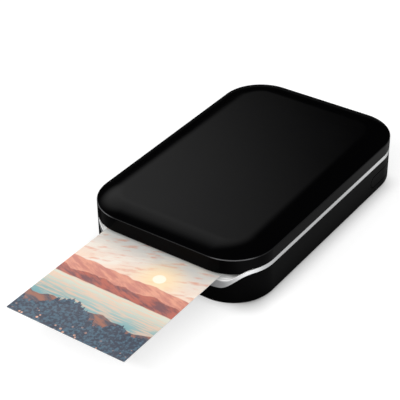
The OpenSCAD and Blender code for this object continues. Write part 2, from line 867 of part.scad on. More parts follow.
module chassis() {
    floor_cut = 20;
    floor_room = 1;
    ribbon_room = 1;
    color([0.66, 0.67, 0.69])
        difference() {
            union() {
                for (x = [plate_x, -plate_out])
                    across(x, x + plate_t) side_plate();
                block(-plate_out, plate_out, chassis_y0, chassis_y1, floor_t, floor_t + plate_t);
                mirrored_x() for (y = [ear_front_y, ear_rear_y])
                    block(plate_out - eps, ear_x + boss_r, y - ear_half, y + ear_half,
                        ear_z, ear_z + plate_t);
            }
            for (c = [platen_c, pickup_c]) x_rod(-side_x, side_x, c, bush_r + seat_gap);
            x_rod(-side_x, side_x, [head_pin_y, head_pin_z], head_pin_r + seat_gap);
            x_rod(0, side_x, motor_c, 1.6);
            for (c = [wheel_a_c, wheel_b_c]) x_rod(0, side_x, c, stud_r);
            for (s = [-1, 1])
                x_rod(0, side_x, [motor_c[0] + motor_hole_off * s, motor_c[1]], pilot_r + air);
            for (sx = [-1, 1], y = [ear_front_y, ear_rear_y])
                z_rod(sx * ear_x, y, ear_z - over, ear_z + plate_t + over, pilot_r + flat_gap);
            block(-plate_out - over, -plate_x + over, platen_y - bridge_half_l, platen_y + bridge_half_l,
                bar_z, carrier_z + ribbon_room);
            block(-floor_cut, floor_cut, motor_c[0] - motor_r - floor_room, pickup_y + roller_r + floor_room,
                0, floor_t + plate_t + over);
        }
}

module chassis_screws() {
    color([0.6, 0.6, 0.62])
        for (sx = [-1, 1], y = [ear_front_y, ear_rear_y])
            screw(sx * ear_x, y, ear_z + plate_t, ear_z + plate_t - screw_end);
}

module gear_studs() {
    color([0.7, 0.7, 0.72])
        for (c = [wheel_a_c, wheel_b_c]) {
            x_rod(plate_x, stud_end, c, stud_r);
            x_rod(stud_end, stud_end + stud_head, c, stud_head_r);
        }
}

module paper_guide() {
    y0 = chassis_y0 + air;
    y1 = tray_y0 - tray_front_t - flat_gap;
    leg_x = 20;
    leg_half_w = 1;
    leg_half_l = 0.8;
    roller_room = 3;
    end_room = 0.5;
    color([0.13, 0.13, 0.14])
        difference() {
            union() {
                block(-plate_x + air, plate_x - air, y0, y1, deck_low, deck_z);
                for (sx = [-1, 1], y = [y0 + 1, sensor_y])
                    block(sx * leg_x - leg_half_w, sx * leg_x + leg_half_w, y - leg_half_l, y + leg_half_l,
                        floor_t + plate_t, deck_low + eps);
            }
            block(-sheet_w / 2 - end_room, sheet_w / 2 + end_room,
                platen_y - roller_room, platen_y + roller_room, 0, deck_z + over);
            translate([sensor_x, sensor_y, deck_z])
                cube([2 * sensor_room, 2 * sensor_room, 4 * deck_t], center = true);
        }
}

// Reflex sensor: a square eye in the guide's opening and a wider foot under the deck
module sheet_sensor() {
    eye = sensor_room - air;
    foot_h = 0.9;
    color([0.08, 0.08, 0.09]) {
        block(sensor_x - eye, sensor_x + eye, sensor_y - eye, sensor_y + eye,
            deck_low - eps, deck_z - 2 * air);
        block(sensor_x - eye - 0.9, sensor_x + eye + 0.9, sensor_y - eye - 0.4, sensor_y + eye + 0.4,
            deck_low - foot_h, deck_low);
    }
}

// ---- Rollers ----

module roller_shaft(y) {
    x_rod(-plate_out - shaft_proud, gear_x1 + gear_w + end_air, [y, roller_z], shaft_r);
}

module roller_bushes(y) {
    mirrored_x() difference() {
        union() {
            x_rod(plate_x, plate_out + bush_proud, [y, roller_z], bush_r);
            x_rod(plate_x - bush_flange_t, plate_x, [y, roller_z], bush_flange_r);
        }
        x_rod(plate_x - over, plate_out + over, [y, roller_z], shaft_r + slip);
    }
}

module platen_shaft() {
    color([0.72, 0.73, 0.75]) roller_shaft(platen_y);
}

module platen_rubber() {
    color([0.15, 0.15, 0.16])
        difference() {
            x_rod(-sheet_w / 2 - air, sheet_w / 2 + air, platen_c, roller_r);
            x_rod(-side_x, side_x, platen_c, shaft_r);
        }
}

module platen_bushes() {
    color([0.75, 0.6, 0.35]) roller_bushes(platen_y);
}

module platen_gear() {
    color([0.9, 0.9, 0.87]) gear(gear_x1, platen_c, platen_teeth, platen_turn, shaft_r);
}

module pickup_shaft() {
    color([0.72, 0.73, 0.75]) roller_shaft(pickup_y);
}

module pickup_tyres() {
    color([0.15, 0.15, 0.16])
        for (sx = [-1, 1])
            difference() {
                x_rod(sx * tyre_x - tyre_half, sx * tyre_x + tyre_half, pickup_c, roller_r);
                x_rod(-side_x, side_x, pickup_c, shaft_r);
            }
}

module pickup_bushes() {
    color([0.75, 0.6, 0.35]) roller_bushes(pickup_y);
}

module pickup_gear() {
    color([0.9, 0.9, 0.87]) gear(gear_x1, pickup_c, pickup_teeth, pickup_turn, shaft_r);
}

// ---- Drive ----

module motor_can() {
    shell = 0.5;
    front_l = 2.2;
    color([0.7, 0.71, 0.72])
        difference() {
            union() {
                intersection() {
                    x_rod(motor_x0, plate_x, motor_c, motor_r);
                    block(motor_x0, plate_x, motor_c[0] - motor_r, motor_c[0] + motor_r,
                        motor_c[1] - motor_flat, motor_c[1] + motor_flat);
                }
                x_rod(plate_x - eps, plate_out, motor_c, motor_boss_r);
                x_rod(motor_x0 - 0.6, motor_x0 + eps, motor_c, motor_boss_r);
            }
            x_rod(motor_x0 + 1, plate_x - front_l, motor_c, motor_flat - shell);
            x_rod(motor_x0, plate_out + over, motor_c, motor_shaft_r + slip);
            for (s = [-1, 1])
                x_rod(plate_x - motor_hole_l, side_x, [motor_c[0] + motor_hole_off * s, motor_c[1]], pilot_r);
        }
}

module motor_rotor() {
    color([0.45, 0.35, 0.28]) {
        x_rod(motor_x0 + 0.2, gear_x2 + gear_w + air, motor_c, motor_shaft_r);
        x_rod(motor_x0 + 2.5, plate_x - 3.5, motor_c, motor_flat - 1);
    }
}

module motor_pinion() {
    color([0.8, 0.66, 0.35]) gear(gear_x2, motor_c, pinion_teeth, 0, motor_shaft_r);
}

module motor_screws() {
    color([0.6, 0.6, 0.62])
        for (s = [-1, 1])
            translate([plate_out, motor_c[0] + motor_hole_off * s, motor_c[1]]) rotate([0, 90, 0])
                screw(0, 0, 0, motor_screw_l, motor_screw_head_r, motor_screw_head_h);
}

// Wheel and small wheel moulded in one piece, with a hub between them
module compound_gear(c, small_teeth, turn) {
    hub_t = 0.7;
    color([0.9, 0.9, 0.87]) {
        gear(gear_x1, c, small_teeth, turn, stud_r + slip);
        gear(gear_x2, c, wheel_teeth, turn, stud_r + slip);
        difference() {
            x_rod(gear_x1 - gear_air + 2 * air, gear_x2 + eps, c, stud_r + hub_t);
            x_rod(gear_x1 - over, gear_x2 + over, c, stud_r + slip);
        }
    }
}

module platen_reduction_gear() {
    compound_gear(wheel_a_c, platen_drive_teeth, wheel_a_turn);
}

module pickup_reduction_gear() {
    compound_gear(wheel_b_c, pickup_drive_teeth, wheel_b_turn);
}

// ---- Print head ----

module heater_bar() {
    half = plate_x - head_end_gap;
    color([0.85, 0.85, 0.8])
        block(-half, half, platen_y - bar_half_l, platen_y + bar_half_l, bar_z, carrier_z);
}

// Finned plate on the heater bar, with two arms back to the pivot pin
module head_carrier() {
    x0 = -plate_x + carrier_inset;
    x1 = plate_x - head_end_gap;
    fin_x = head_spring_x - 3;
    plate_y1 = head_pin_y - 2.4;
    arm_l = 4.4;
    color([0.72, 0.73, 0.75])
        difference() {
            union() {
                block(x0, x1, platen_y - carrier_half_l, plate_y1, carrier_z, carrier_top);
                for (i = [0:3])
                    translate([-fin_x, platen_y - carrier_half_l + 1 + fin_pitch * i, carrier_top - eps])
                        cube([2 * fin_x, fin_t, fin_h]);
                for (x = [x0, x1 - arm_t])
                    across(x, x + arm_t) {
                        translate([head_pin_y, head_pin_z]) circle(head_boss_r);
                        translate([head_pin_y - arm_l, carrier_z]) square([arm_l, head_pin_z - carrier_z]);
                    }
                for (sx = [-1, 1])
                    z_rod(sx * head_spring_x, platen_y, carrier_top - eps, carrier_top + 0.7, 1);
            }
            x_rod(-side_x, side_x, [head_pin_y, head_pin_z], head_pin_r + slip);
        }
}

module head_pin() {
    color([0.72, 0.73, 0.75])
        x_rod(-plate_out - pin_proud, plate_out + pin_proud, [head_pin_y, head_pin_z], head_pin_r);
}

module head_springs() {
    color([0.7, 0.7, 0.72])
        for (sx = [-1, 1])
            coil_spring(sx * head_spring_x, platen_y, carrier_top + spring_air, bridge_z - spring_air,
                head_spring_r, head_wire_r, 4);
}

// Steel strip over both side plates that the head's springs press against
module spring_bridge() {
    x1 = plate_out + bridge_leg_t;
    y0 = platen_y - bridge_half_l;
    y1 = platen_y + bridge_half_l;
    color([0.66, 0.67, 0.69])
        union() {
            block(-x1, x1, y0, y1, bridge_z, bridge_z + bridge_t);
            mirrored_x() block(plate_out, x1, y0, y1, bridge_z - bridge_leg_h, bridge_z + eps);
        }
}

// Flat ribbon from the head's end down into the side bay and back to the main board
module head_ribbon() {
    x1 = ribbon_x + ribbon_t;
    y0 = platen_y - ribbon_half_w;
    y1 = platen_y + ribbon_half_w;
    run_z = board_top + 2 * air;
    color([0.75, 0.5, 0.2])
        union() {
            block(ribbon_x, -plate_x + 2.2, y0, y1, carrier_z, carrier_z + ribbon_t);
            block(ribbon_x, x1, y0, y1, run_z, carrier_z + ribbon_t);
            block(ribbon_x, x1, y0, board_y0 - flat_gap, run_z, deck_low - 2 * air);
            block(ribbon_x, x1, board_y0 - 0.4, board_y0 + 0.8, run_z + air, deck_low - 5 * air);
        }
}

// ---- Electronics ----

module main_board() {
    half = side_x - 4.5;
    color([0.1, 0.35, 0.2])
        translate([0, 0, board_z]) linear_extrude(board_t)
            difference() {
                intersection() {
                    plan(board_inset);
                    translate([-half, board_y0]) square([2 * half, body_l]);
                }
                for (sx = [-1, 1], y = fix_ys) translate([sx * fix_x, y]) circle(pilot_r + flat_gap);
            }
}

// Square package on the board's top face, by its middle
module package(c, size, h) {
    block(c[0] - size / 2, c[0] + size / 2, c[1] - size / 2, c[1] + size / 2, board_top, board_top + h);
}

module processor_chip() {
    color([0.12, 0.12, 0.13]) package(processor_c, processor_size, processor_h);
}

module radio_module() {
    color([0.7, 0.7, 0.72]) package(radio_c, radio_size, radio_h);
}

module power_chip() {
    color([0.12, 0.12, 0.13]) package(power_chip_c, power_chip_size, power_chip_h);
}

module ribbon_connector() {
    housing_half = 1.45;
    housing_l = 2.4;
    entry_l = 1;
    color([0.9, 0.88, 0.8])
        difference() {
            block(ribbon_x - housing_half, ribbon_x + housing_half,
                board_y0 + board_margin, board_y0 + board_margin + housing_l, board_top, deck_low - 2 * air);
            block(ribbon_x - slip - eps, ribbon_x + ribbon_t + slip + eps,
                board_y0, board_y0 + entry_l, board_top + 2 * air, deck_low);
        }
}

module board_connectors() {
    color([0.9, 0.88, 0.8]) {
        translate([battery_x1 + lead_gap, lead_y - battery_plug[1] / 2, connector_z])
            cube([battery_plug[0], battery_plug[1], connector_h]);
        translate([motor_plug_x - motor_plug[0] / 2, board_y0 + board_margin, connector_z])
            cube([motor_plug[0], motor_plug[1], connector_h]);
    }
}

// Pouch cell with its two front edges folded back
module battery_pack() {
    fold = 0.8;
    color([0.7, 0.72, 0.75])
        difference() {
            translate([battery_x1 - battery_w, battery_y0, battery_z])
                cube([battery_w, battery_l, battery_t]);
            for (z = [battery_z, battery_z + battery_t])
                translate([battery_x1 - battery_w / 2, battery_y0, z]) rotate([45, 0, 0])
                    cube([battery_w + 1, fold, fold], center = true);
        }
}

module battery_pad() {
    margin = 5;
    color([0.9, 0.9, 0.9])
        block(battery_x1 - battery_w + margin, battery_x1 - margin,
            battery_y0 + margin, battery_y0 + battery_l - margin, floor_t, battery_z);
}

module battery_lead() {
    color([0.75, 0.1, 0.1])
        for (i = [-1, 0, 1])
            x_rod(battery_x1, battery_x1 + lead_gap,
                [lead_y + lead_pitch * i, battery_z + battery_t - lead_pitch], lead_r);
}

module motor_lead() {
    x = plate_x - motor_l;
    color([0.1, 0.1, 0.6])
        for (s = [-1, 1])
            tube(
                [
                    [x, motor_c[0] + 2.2 * s, motor_c[1]],
                    [x - 1.2, motor_c[0] + 2.2 * s, motor_c[1]],
                    [x - 3 + 0.5 * s, motor_c[0] + 4, motor_c[1] - 2.4],
                    [x - 3 + 0.6 * s, motor_c[0] + 8, floor_t + 1.7],
                    [x + 0.6 * s, 0.5 * (motor_c[0] + board_y0), floor_t + 1.5],
                    [battery_x1 - 1 + 0.6 * s, board_y0 - 6, floor_t + 2.2],
                    [motor_plug_x + 0.6 * s, board_y0 - 2.5, board_z - connector_h / 2 - 0.8],
                    [motor_plug_x + 0.6 * s, board_y0 - 1, board_z - connector_h / 2],
                    [motor_plug_x + 0.6 * s, board_y0 + board_margin, board_z - connector_h / 2]
                ],
                0.35
            );
}

// ---- Pressure plate ----

module pressure_plate() {
    flat_y1 = press_tip_y + press_flat_l;
    ear_room = hang_ear_r + 1.4;
    hub_r = hang_pin_r + 0.6;
    rise = hang_z - press_low - press_t / 2;
    run = hang_y - flat_y1;
    color([0.2, 0.2, 0.21])
        difference() {
            union() {
                across(-press_half_w, press_half_w)
                    polygon([
                        [press_tip_y, press_low + press_tip_rise], [press_tip_y + 0.5, press_low],
                        [flat_y1, press_low],
                        [hang_y - 1, hang_z - press_t / 2 - rise / run], [hang_y, hang_z - press_t / 2],
                        [hang_y, hang_z + press_t / 2], [hang_y - 1, hang_z + press_t / 2 - rise / run],
                        [flat_y1, press_low + press_t], [press_tip_y + 0.5, press_low + press_t],
                        [press_tip_y, press_low + press_t + press_tip_rise]
                    ]);
                x_rod(-press_half_w, press_half_w, [hang_y, hang_z], hub_r);
                for (sx = [-1, 1])
                    z_rod(sx * press_spring_x, press_spring_y,
                        press_low + press_t, press_seat_z, press_seat_r);
            }
            x_rod(-side_x, side_x, [hang_y, hang_z], hang_pin_r + slip + eps);
            for (x = [-hang_ear_x, hang_ear_x])
                block(x - hang_ear_half - flat_gap, x + hang_ear_half + flat_gap,
                    hang_y - ear_room, hang_y + ear_room, hang_z - ear_room, hang_z + ear_room);
        }
}

module plate_pin() {
    color([0.72, 0.73, 0.75]) x_rod(-press_half_w, press_half_w, [hang_y, hang_z], hang_pin_r);
}

module plate_springs() {
    color([0.7, 0.7, 0.72])
        for (sx = [-1, 1])
            coil_spring(sx * press_spring_x, press_spring_y,
                press_seat_z + spring_air, inner_top - spring_air, press_spring_r, press_wire_r, 5);
}

module printed_photo() {
    y0 = front_y - sheet_out;
    color([0.85, 0.7, 0.6])
        block(-sheet_w / 2, sheet_w / 2, y0, y0 + sheet_l, sheet_z, sheet_top);
}

base_shell();
trim_band();
top_cover();
power_button();
power_switch();
power_plunger();
reset_switch();
reset_button();
charging_socket();
light_pipes();
indicator_lamps();
paper_tray();
separator_pad();
tray_screws();
chassis();
chassis_screws();
platen_shaft();
platen_rubber();
platen_bushes();
platen_gear();
pickup_shaft();
pickup_tyres();
pickup_bushes();
pickup_gear();
motor_can();
motor_rotor();
motor_pinion();
motor_screws();
platen_reduction_gear();
pickup_reduction_gear();
gear_studs();
heater_bar();
head_carrier();
head_pin();
head_springs();
spring_bridge();
head_ribbon();
paper_guide();
sheet_sensor();
main_board();
processor_chip();
radio_module();
power_chip();
ribbon_connector();
board_connectors();
battery_pack();
battery_pad();
battery_lead();
motor_lead();
pressure_plate();
plate_pin();
plate_springs();
printed_photo();
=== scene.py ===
"""Looks of a compact photo printer: housing, trim, print and the mechanism inside.
All sizes are in metres in the frame's axes. -Y is the front, where the print comes out.
+X is the side of the power key."""
import json
import math
import bmesh
import bpy
from mathutils import Matrix, Vector


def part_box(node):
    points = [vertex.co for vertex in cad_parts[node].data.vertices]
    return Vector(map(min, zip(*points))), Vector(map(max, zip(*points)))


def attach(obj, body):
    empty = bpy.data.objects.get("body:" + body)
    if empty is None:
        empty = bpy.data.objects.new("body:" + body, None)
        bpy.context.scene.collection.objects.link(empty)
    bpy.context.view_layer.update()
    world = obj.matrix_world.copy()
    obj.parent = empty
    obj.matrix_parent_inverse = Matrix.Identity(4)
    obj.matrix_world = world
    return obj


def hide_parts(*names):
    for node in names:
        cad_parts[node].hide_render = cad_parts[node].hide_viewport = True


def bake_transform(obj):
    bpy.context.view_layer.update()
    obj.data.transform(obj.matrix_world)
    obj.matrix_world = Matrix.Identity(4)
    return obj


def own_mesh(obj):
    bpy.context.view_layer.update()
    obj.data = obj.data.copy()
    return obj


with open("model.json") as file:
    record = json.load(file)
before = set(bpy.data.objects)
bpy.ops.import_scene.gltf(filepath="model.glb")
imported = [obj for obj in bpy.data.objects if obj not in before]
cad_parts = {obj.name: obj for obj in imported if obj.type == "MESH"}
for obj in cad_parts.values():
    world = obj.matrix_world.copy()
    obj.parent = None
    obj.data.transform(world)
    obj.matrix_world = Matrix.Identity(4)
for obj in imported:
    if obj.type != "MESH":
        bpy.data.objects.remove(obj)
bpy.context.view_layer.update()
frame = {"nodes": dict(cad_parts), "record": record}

MM = 0.001

# How far apart two places may lie and still count as one, or as on one line or rim
near = 1e-6
line_slack = 0.05 * MM
rim_slack = 0.1 * MM

# ---- Sizes: places come from the frame, forms are named here ----

base_low, base_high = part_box("base_shell")
band_low, band_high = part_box("trim_band")
cover_low, cover_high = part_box("top_cover")
sheet_low, sheet_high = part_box("printed_photo")
key_low, key_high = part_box("power_button")
plunger_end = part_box("power_plunger")[1].x

side_x = base_high.x
front_y = base_low.y
back_y = base_high.y
slot_top = cover_low.z
crown_z = cover_high.z

# Plan and walls. Pieces that become one reach into each other by the weld
corner_r = 17.2 * MM
corner_steps = 32
floor_t = 1.2 * MM
cover_wall = 1.4 * MM
band_t = 1.5 * MM
joint_gap = 0.12 * MM
weld = 0.1 * MM

# Rounded foot of the base, and the flat ring inside it
base_edge_r = 1.9 * MM
foot_ring = 0.5 * MM

# Trim line, thinner than the trim's solid. Each sweep is where its edge leaves the lip and joins the line
seam_h = base_high.z - 0.1 * MM
band_top = band_high.z - 0.55 * MM
back_rise = 0.33 * MM
back_rise_l = 5 * MM
lip_bottom = band_low.z + 0.45 * MM
lip_top = 10.8 * MM
low_sweep = (25.2 * MM, 35.2 * MM)
top_sweep = (27.0 * MM, 34.8 * MM)
sweep_y = front_y + 12 * MM

# Crown of the cover. A highlight is painted along its crease, brightest at the front corners
crown_h = 2.3 * MM
crease_z = crown_z - crown_h
crease_r = 0.35 * MM
shoulder_w = 10.0 * MM
flat_ring = 0.4 * MM
crease_highlight_corner = (29 * MM, -54 * MM)
crease_highlight_reach = (5 * MM, 10 * MM)

# Small rounds, on edges sharper than the angle
sharp_angle = math.radians(50)
cover_edge_r = 0.12 * MM
key_edge_r = 0.1 * MM
rim_edge_r = 0.1 * MM
band_edge_r = 0.15 * MM
sheet_edge_r = 0.04 * MM
sheet_corner_r = 0.4 * MM

# Power key, whose solid reaches to the rim of the flange behind the wall
key_gap = 0.35 * MM
key_wall = 1.65 * MM
flange_t = 0.8 * MM
flange_rim = 0.8 * MM
stem_half = 1.0 * MM
face_low = Vector((key_low.x, key_low.y + flange_rim, key_low.z + flange_rim))
face_high = Vector((key_high.x, key_high.y - flange_rim, key_high.z - flange_rim))

# Lip and the ramp inside it, which the print runs out over
lip_round = 0.5 * MM
lip_round_end = sweep_y - 2 * MM
lip_fade = (lip_round_end - 5 * MM, lip_round_end - 0.2 * MM)
lip_fade_share = 0.85
ramp_end = front_y + 8.5 * MM
ramp_top = sheet_low.z - 0.2 * MM
ramp_t = 1.0 * MM
ramp_root = 0.3 * MM
ramp_curl = 0.2 * MM
ramp_reach = 33.5 * MM
rib_half = low_sweep[0]
rib_t = 1.0 * MM
rib_low = lip_bottom + 0.4 * MM
rib_high = lip_top - 0.5 * MM

# Rails inside the trim and the cover's lugs, which hook into them
rail_x = side_x - 2.9 * MM
rail_y = back_y - corner_r - 3 * MM
rail_low = base_high.z - 1.0 * MM
groove_x = rail_x + 1.0 * MM
groove_low = base_high.z + 0.6 * MM
groove_high = groove_low + 1.0 * MM
lug_t = 1.0 * MM
lug_l = 6.0 * MM
lug_ys = (-22 * MM, 26 * MM)
lug_room = 0.4 * MM
lug_web_z = base_high.z + 2.6 * MM
lug_web_t = 1.2 * MM
toe_t = 0.6 * MM
toe_gap = 0.2 * MM
leg_gap = 0.3 * MM
cover_travel = 8.5 * MM

# Ears under the cover that carry the pressure plate's pin
pin_low, pin_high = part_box("plate_pin")
pin_y, pin_z, pin_r = (pin_low.y + pin_high.y) / 2, (pin_low.z + pin_high.z) / 2, (pin_high.z - pin_low.z) / 2
hang_x = 16 * MM
hang_half = 0.6 * MM
pin_slip = 0.02 * MM

# Springs, whose wire is drawn with few faces
wire_sides = 8
steps_a_turn = 14

# Ribbon of the print head
film_t = 0.12 * MM
film_w = 6.0 * MM
film_run_h = 1.6 * MM
film_plug_l = 1.1 * MM
film_taper = 0.8
film_rows = 8

# Openings in the back wall
cut_depth = 3 * MM
socket_room = 0.3 * MM
socket_h = 3.3 * MM
pipe_collar_r = 1.25 * MM
pipe_hole_r = 0.8 * MM
reset_hole_r = 0.6 * MM

# Bosses in the base's floor, under the frame's ears and the tray's screws
ear_places = [(sx * 29.95 * MM, y) for sx in (-1, 1) for y in (-49.1 * MM, 0)]
post_places = [(sx * 30.5 * MM, y) for sx in (-1, 1) for y in (9.5 * MM, 46 * MM)]
ear_h, ear_r = 6.0 * MM, 1.7 * MM
post_h, post_r = 8.2 * MM, 2.2 * MM
pilot_r = 0.6 * MM
pilot_foot = floor_t + 0.4 * MM


def ease(value, ends):
    """Smooth step from 0 to 1 between two values."""
    part = min(1, max(0, (value - ends[0]) / (ends[1] - ends[0])))
    return (1 - math.cos(math.pi * part)) / 2


def low_edge(x):
    """Height of the band's lower edge at the front."""
    return lip_bottom + (seam_h - lip_bottom) * ease(abs(x), low_sweep)


def top_edge(x):
    """Height of the band's upper edge at the front."""
    return lip_top + (band_top - lip_top) * ease(abs(x), top_sweep)


def back_edge(y):
    """Height of the band's upper edge behind the front. It rises a little over the tray's back corners."""
    straight_end = back_y - corner_r
    return band_top + back_rise * ease(y, (straight_end, straight_end + back_rise_l))


def cover_edge(place):
    """Height of the cover's lower edge, over the band and the slot."""
    if place.y > sweep_y:
        return back_edge(place.y) + joint_gap
    return max(slot_top, top_edge(place.x) + joint_gap)


# ---- Modelling by hand ----

def only(*pieces):
    """Selects these pieces alone. The first is active."""
    bpy.ops.object.select_all(action="DESELECT")
    for piece in pieces:
        piece.select_set(True)
    bpy.context.view_layer.objects.active = pieces[0]


def pick(piece, kind, choose):
    """In edit mode, selects the vertices, edges or faces that choose() says yes to."""
    bpy.ops.mesh.select_mode(type=kind)
    bpy.ops.mesh.select_all(action="DESELECT")
    shape = bmesh.from_edit_mesh(piece.data)
    for item in {"VERT": shape.verts, "EDGE": shape.edges, "FACE": shape.faces}[kind]:
        item.select_set(choose(item))
    shape.select_flush_mode()
    bmesh.update_edit_mesh(piece.data)


def modify(piece, kind, **settings):
    """Adds a modifier and applies it."""
    only(piece)
    modifier = piece.modifiers.new(kind.lower(), kind)
    for name, value in settings.items():
        setattr(modifier, name, value)
    bpy.ops.object.modifier_apply(modifier=modifier.name)


def soften(piece, width):
    """Rounds the sharp edges and shades the piece smooth between those left."""
    modify(piece, "BEVEL", width=width, segments=2, limit_method="ANGLE", angle_limit=sharp_angle)
    smooth(piece)


def smooth(piece):
    """Smooth shading across all but sharp edges, with the broad faces kept flat."""
    only(piece)
    bpy.ops.object.shade_smooth_by_angle(angle=sharp_angle)
    modify(piece, "WEIGHTED_NORMAL", keep_sharp=True)


def combine(piece, tool, operation):
    """Joins a tool to a piece or cuts it away, and deletes the tool."""
    modify(piece, "BOOLEAN", object=tool, operation=operation, solver="EXACT")
    bpy.data.objects.remove(tool)


def join(pieces):
    """Makes one object of several that don't meet."""
    only(*pieces)
    bpy.ops.object.join()
    return pieces[0]


def shifted(piece, *offsets):
    """The piece and a copy of it at each offset."""
    copies = [piece]
    for offset in offsets:
        copy = piece.copy()
        copy.data = piece.data.copy()
        bpy.context.scene.collection.objects.link(copy)
        reshape(copy, lambda place: place + Vector(offset))
        copies.append(copy)
    return copies


def mirrored(piece):
    """Adds the piece's mirror image on the other side of the middle plane."""
    modify(piece, "MIRROR", use_axis=(True, False, False), use_mirror_merge=False)
    only(piece)
    bpy.ops.object.mode_set(mode="EDIT")
    bpy.ops.mesh.select_all(action="SELECT")
    bpy.ops.mesh.normals_make_consistent(inside=False)
    bpy.ops.object.mode_set(mode="OBJECT")
    return piece


def finish(piece, slot, body, node):
    """Gives the piece its material and its body, and hides the CAD node that it stands for.
    A piece that would bend between two bodies is given none, and rides on neither."""
    only(piece)
    bpy.ops.object.transform_apply(location=True, rotation=True, scale=True)
    piece.data.materials.clear()
    piece.data.materials.append(MATERIALS[slot])
    if body:
        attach(piece, body)
    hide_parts(node)


def plan_face(name, inset, z, up=True):
    """Flat face with the body's plan, pulled in by a distance, that looks up or down.
    It is left in edit mode, selected."""
    bpy.ops.object.select_all(action="DESELECT")
    bpy.ops.mesh.primitive_plane_add(size=1, location=(0, 0, z))
    piece = bpy.context.object
    piece.name = name
    piece.scale = (2 * (side_x - inset), 2 * (back_y - inset), 1)
    bpy.ops.object.transform_apply(location=True, rotation=True, scale=True)
    bpy.ops.object.mode_set(mode="EDIT")
    bpy.ops.mesh.bevel(offset=corner_r - inset, segments=corner_steps, affect="VERTICES")
    pick(piece, "FACE", lambda face: True)
    if not up:
        bpy.ops.mesh.flip_normals()
    return piece


def raise_face(steps):
    """Extrudes or insets the selected face through steps of [further inset, height along its normal]."""
    for inset, height in steps:
        if inset > 0:
            bpy.ops.mesh.inset(thickness=inset, depth=height)
        else:
            bpy.ops.mesh.extrude_region_shrink_fatten(TRANSFORM_OT_shrink_fatten={"value": height})


def steps_between(profile):
    """Turns a profile of [inset, height] points into steps."""
    return [(b[0] - a[0], b[1] - a[1]) for a, b in zip(profile, profile[1:])]


def arc(centre, radius, start, end, count):
    """Points on an arc as [inset, height], with angles in degrees from the inward direction."""
    angles = [math.radians(start + (end - start) * i / count) for i in range(count + 1)]
    return [(centre[0] + radius * math.cos(a), centre[1] + radius * math.sin(a)) for a in angles]


def ring(name, inset, thickness, z0, z1):
    """Upright wall along the body's plan."""
    piece = plan_face(name, inset, z0)
    raise_face([(0, z1 - z0)])
    pick(piece, "FACE", lambda face: abs(face.normal.z) > 0.9)
    bpy.ops.mesh.delete(type="FACE")
    bpy.ops.object.mode_set(mode="OBJECT")
    modify(piece, "SOLIDIFY", thickness=thickness, offset=-1, use_even_offset=True)
    return piece


def bar(name, size, start, end, corner, steps=12):
    """Straight bar between two points on one axis, with a section of [width, height] and rounded corners."""
    start, end = Vector(start), Vector(end)
    turn = (end - start).to_track_quat("Z", "Y")
    bpy.ops.object.select_all(action="DESELECT")
    bpy.ops.mesh.primitive_plane_add(size=1, location=start)
    piece = bpy.context.object
    piece.name = name
    piece.rotation_mode = "QUATERNION"
    piece.rotation_quaternion = turn
    piece.scale = (*size, 1)
    bpy.ops.object.transform_apply(location=False, rotation=False, scale=True)
    bpy.ops.object.mode_set(mode="EDIT")
    bpy.ops.mesh.bevel(offset=corner, segments=steps, affect="VERTICES")
    bpy.ops.mesh.select_all(action="SELECT")
    bpy.ops.mesh.extrude_region_shrink_fatten(TRANSFORM_OT_shrink_fatten={"value": (end - start).length})
    bpy.ops.mesh.select_all(action="SELECT")
    bpy.ops.mesh.remove_doubles(threshold=1e-7)
    bpy.ops.mesh.normals_make_consistent(inside=False)
    bpy.ops.object.mode_set(mode="OBJECT")
    bpy.ops.object.transform_apply(location=True, rotation=True, scale=True)
    return piece


def rod(name, start, end, radius, steps=6):
    """Round bar."""
    return bar(name, (2 * radius, 2 * radius), start, end, radius - near, steps)


def block(name, one, other):
    """Block between two opposite corners."""
    one, other = Vector(one), Vector(other)
    bpy.ops.object.select_all(action="DESELECT")
    bpy.ops.mesh.primitive_cube_add(size=1, location=(one + other) / 2)
    piece = bpy.context.object
    piece.name = name
    piece.scale = [abs(b - a) for a, b in zip(one, other)]
    bpy.ops.object.transform_apply(location=True, rotation=True, scale=True)
    return piece


def reshape(piece, place):
    """Moves each vertex in object mode to place(its position)."""
    for vertex in piece.data.vertices:
        vertex.co = place(vertex.co)


# ---- Shader wires: sockets that add Math nodes when they meet Python operators ----

class Wire:
    """An output socket inside one material or world."""

    def __init__(self, kit, socket):
        self.kit = kit
        self.socket = socket

    def _math(self, operation, *values):
        return self.kit.node("ShaderNodeMath", dict(operation=operation), dict(enumerate(values)))

    def __add__(self, other):
        return self._math("ADD", self, other)

    __radd__ = __add__

    def __sub__(self, other):
        return self._math("SUBTRACT", self, other)

    def __rsub__(self, other):
        return self._math("SUBTRACT", other, self)

    def __mul__(self, other):
        return self._math("MULTIPLY", self, other)

    __rmul__ = __mul__


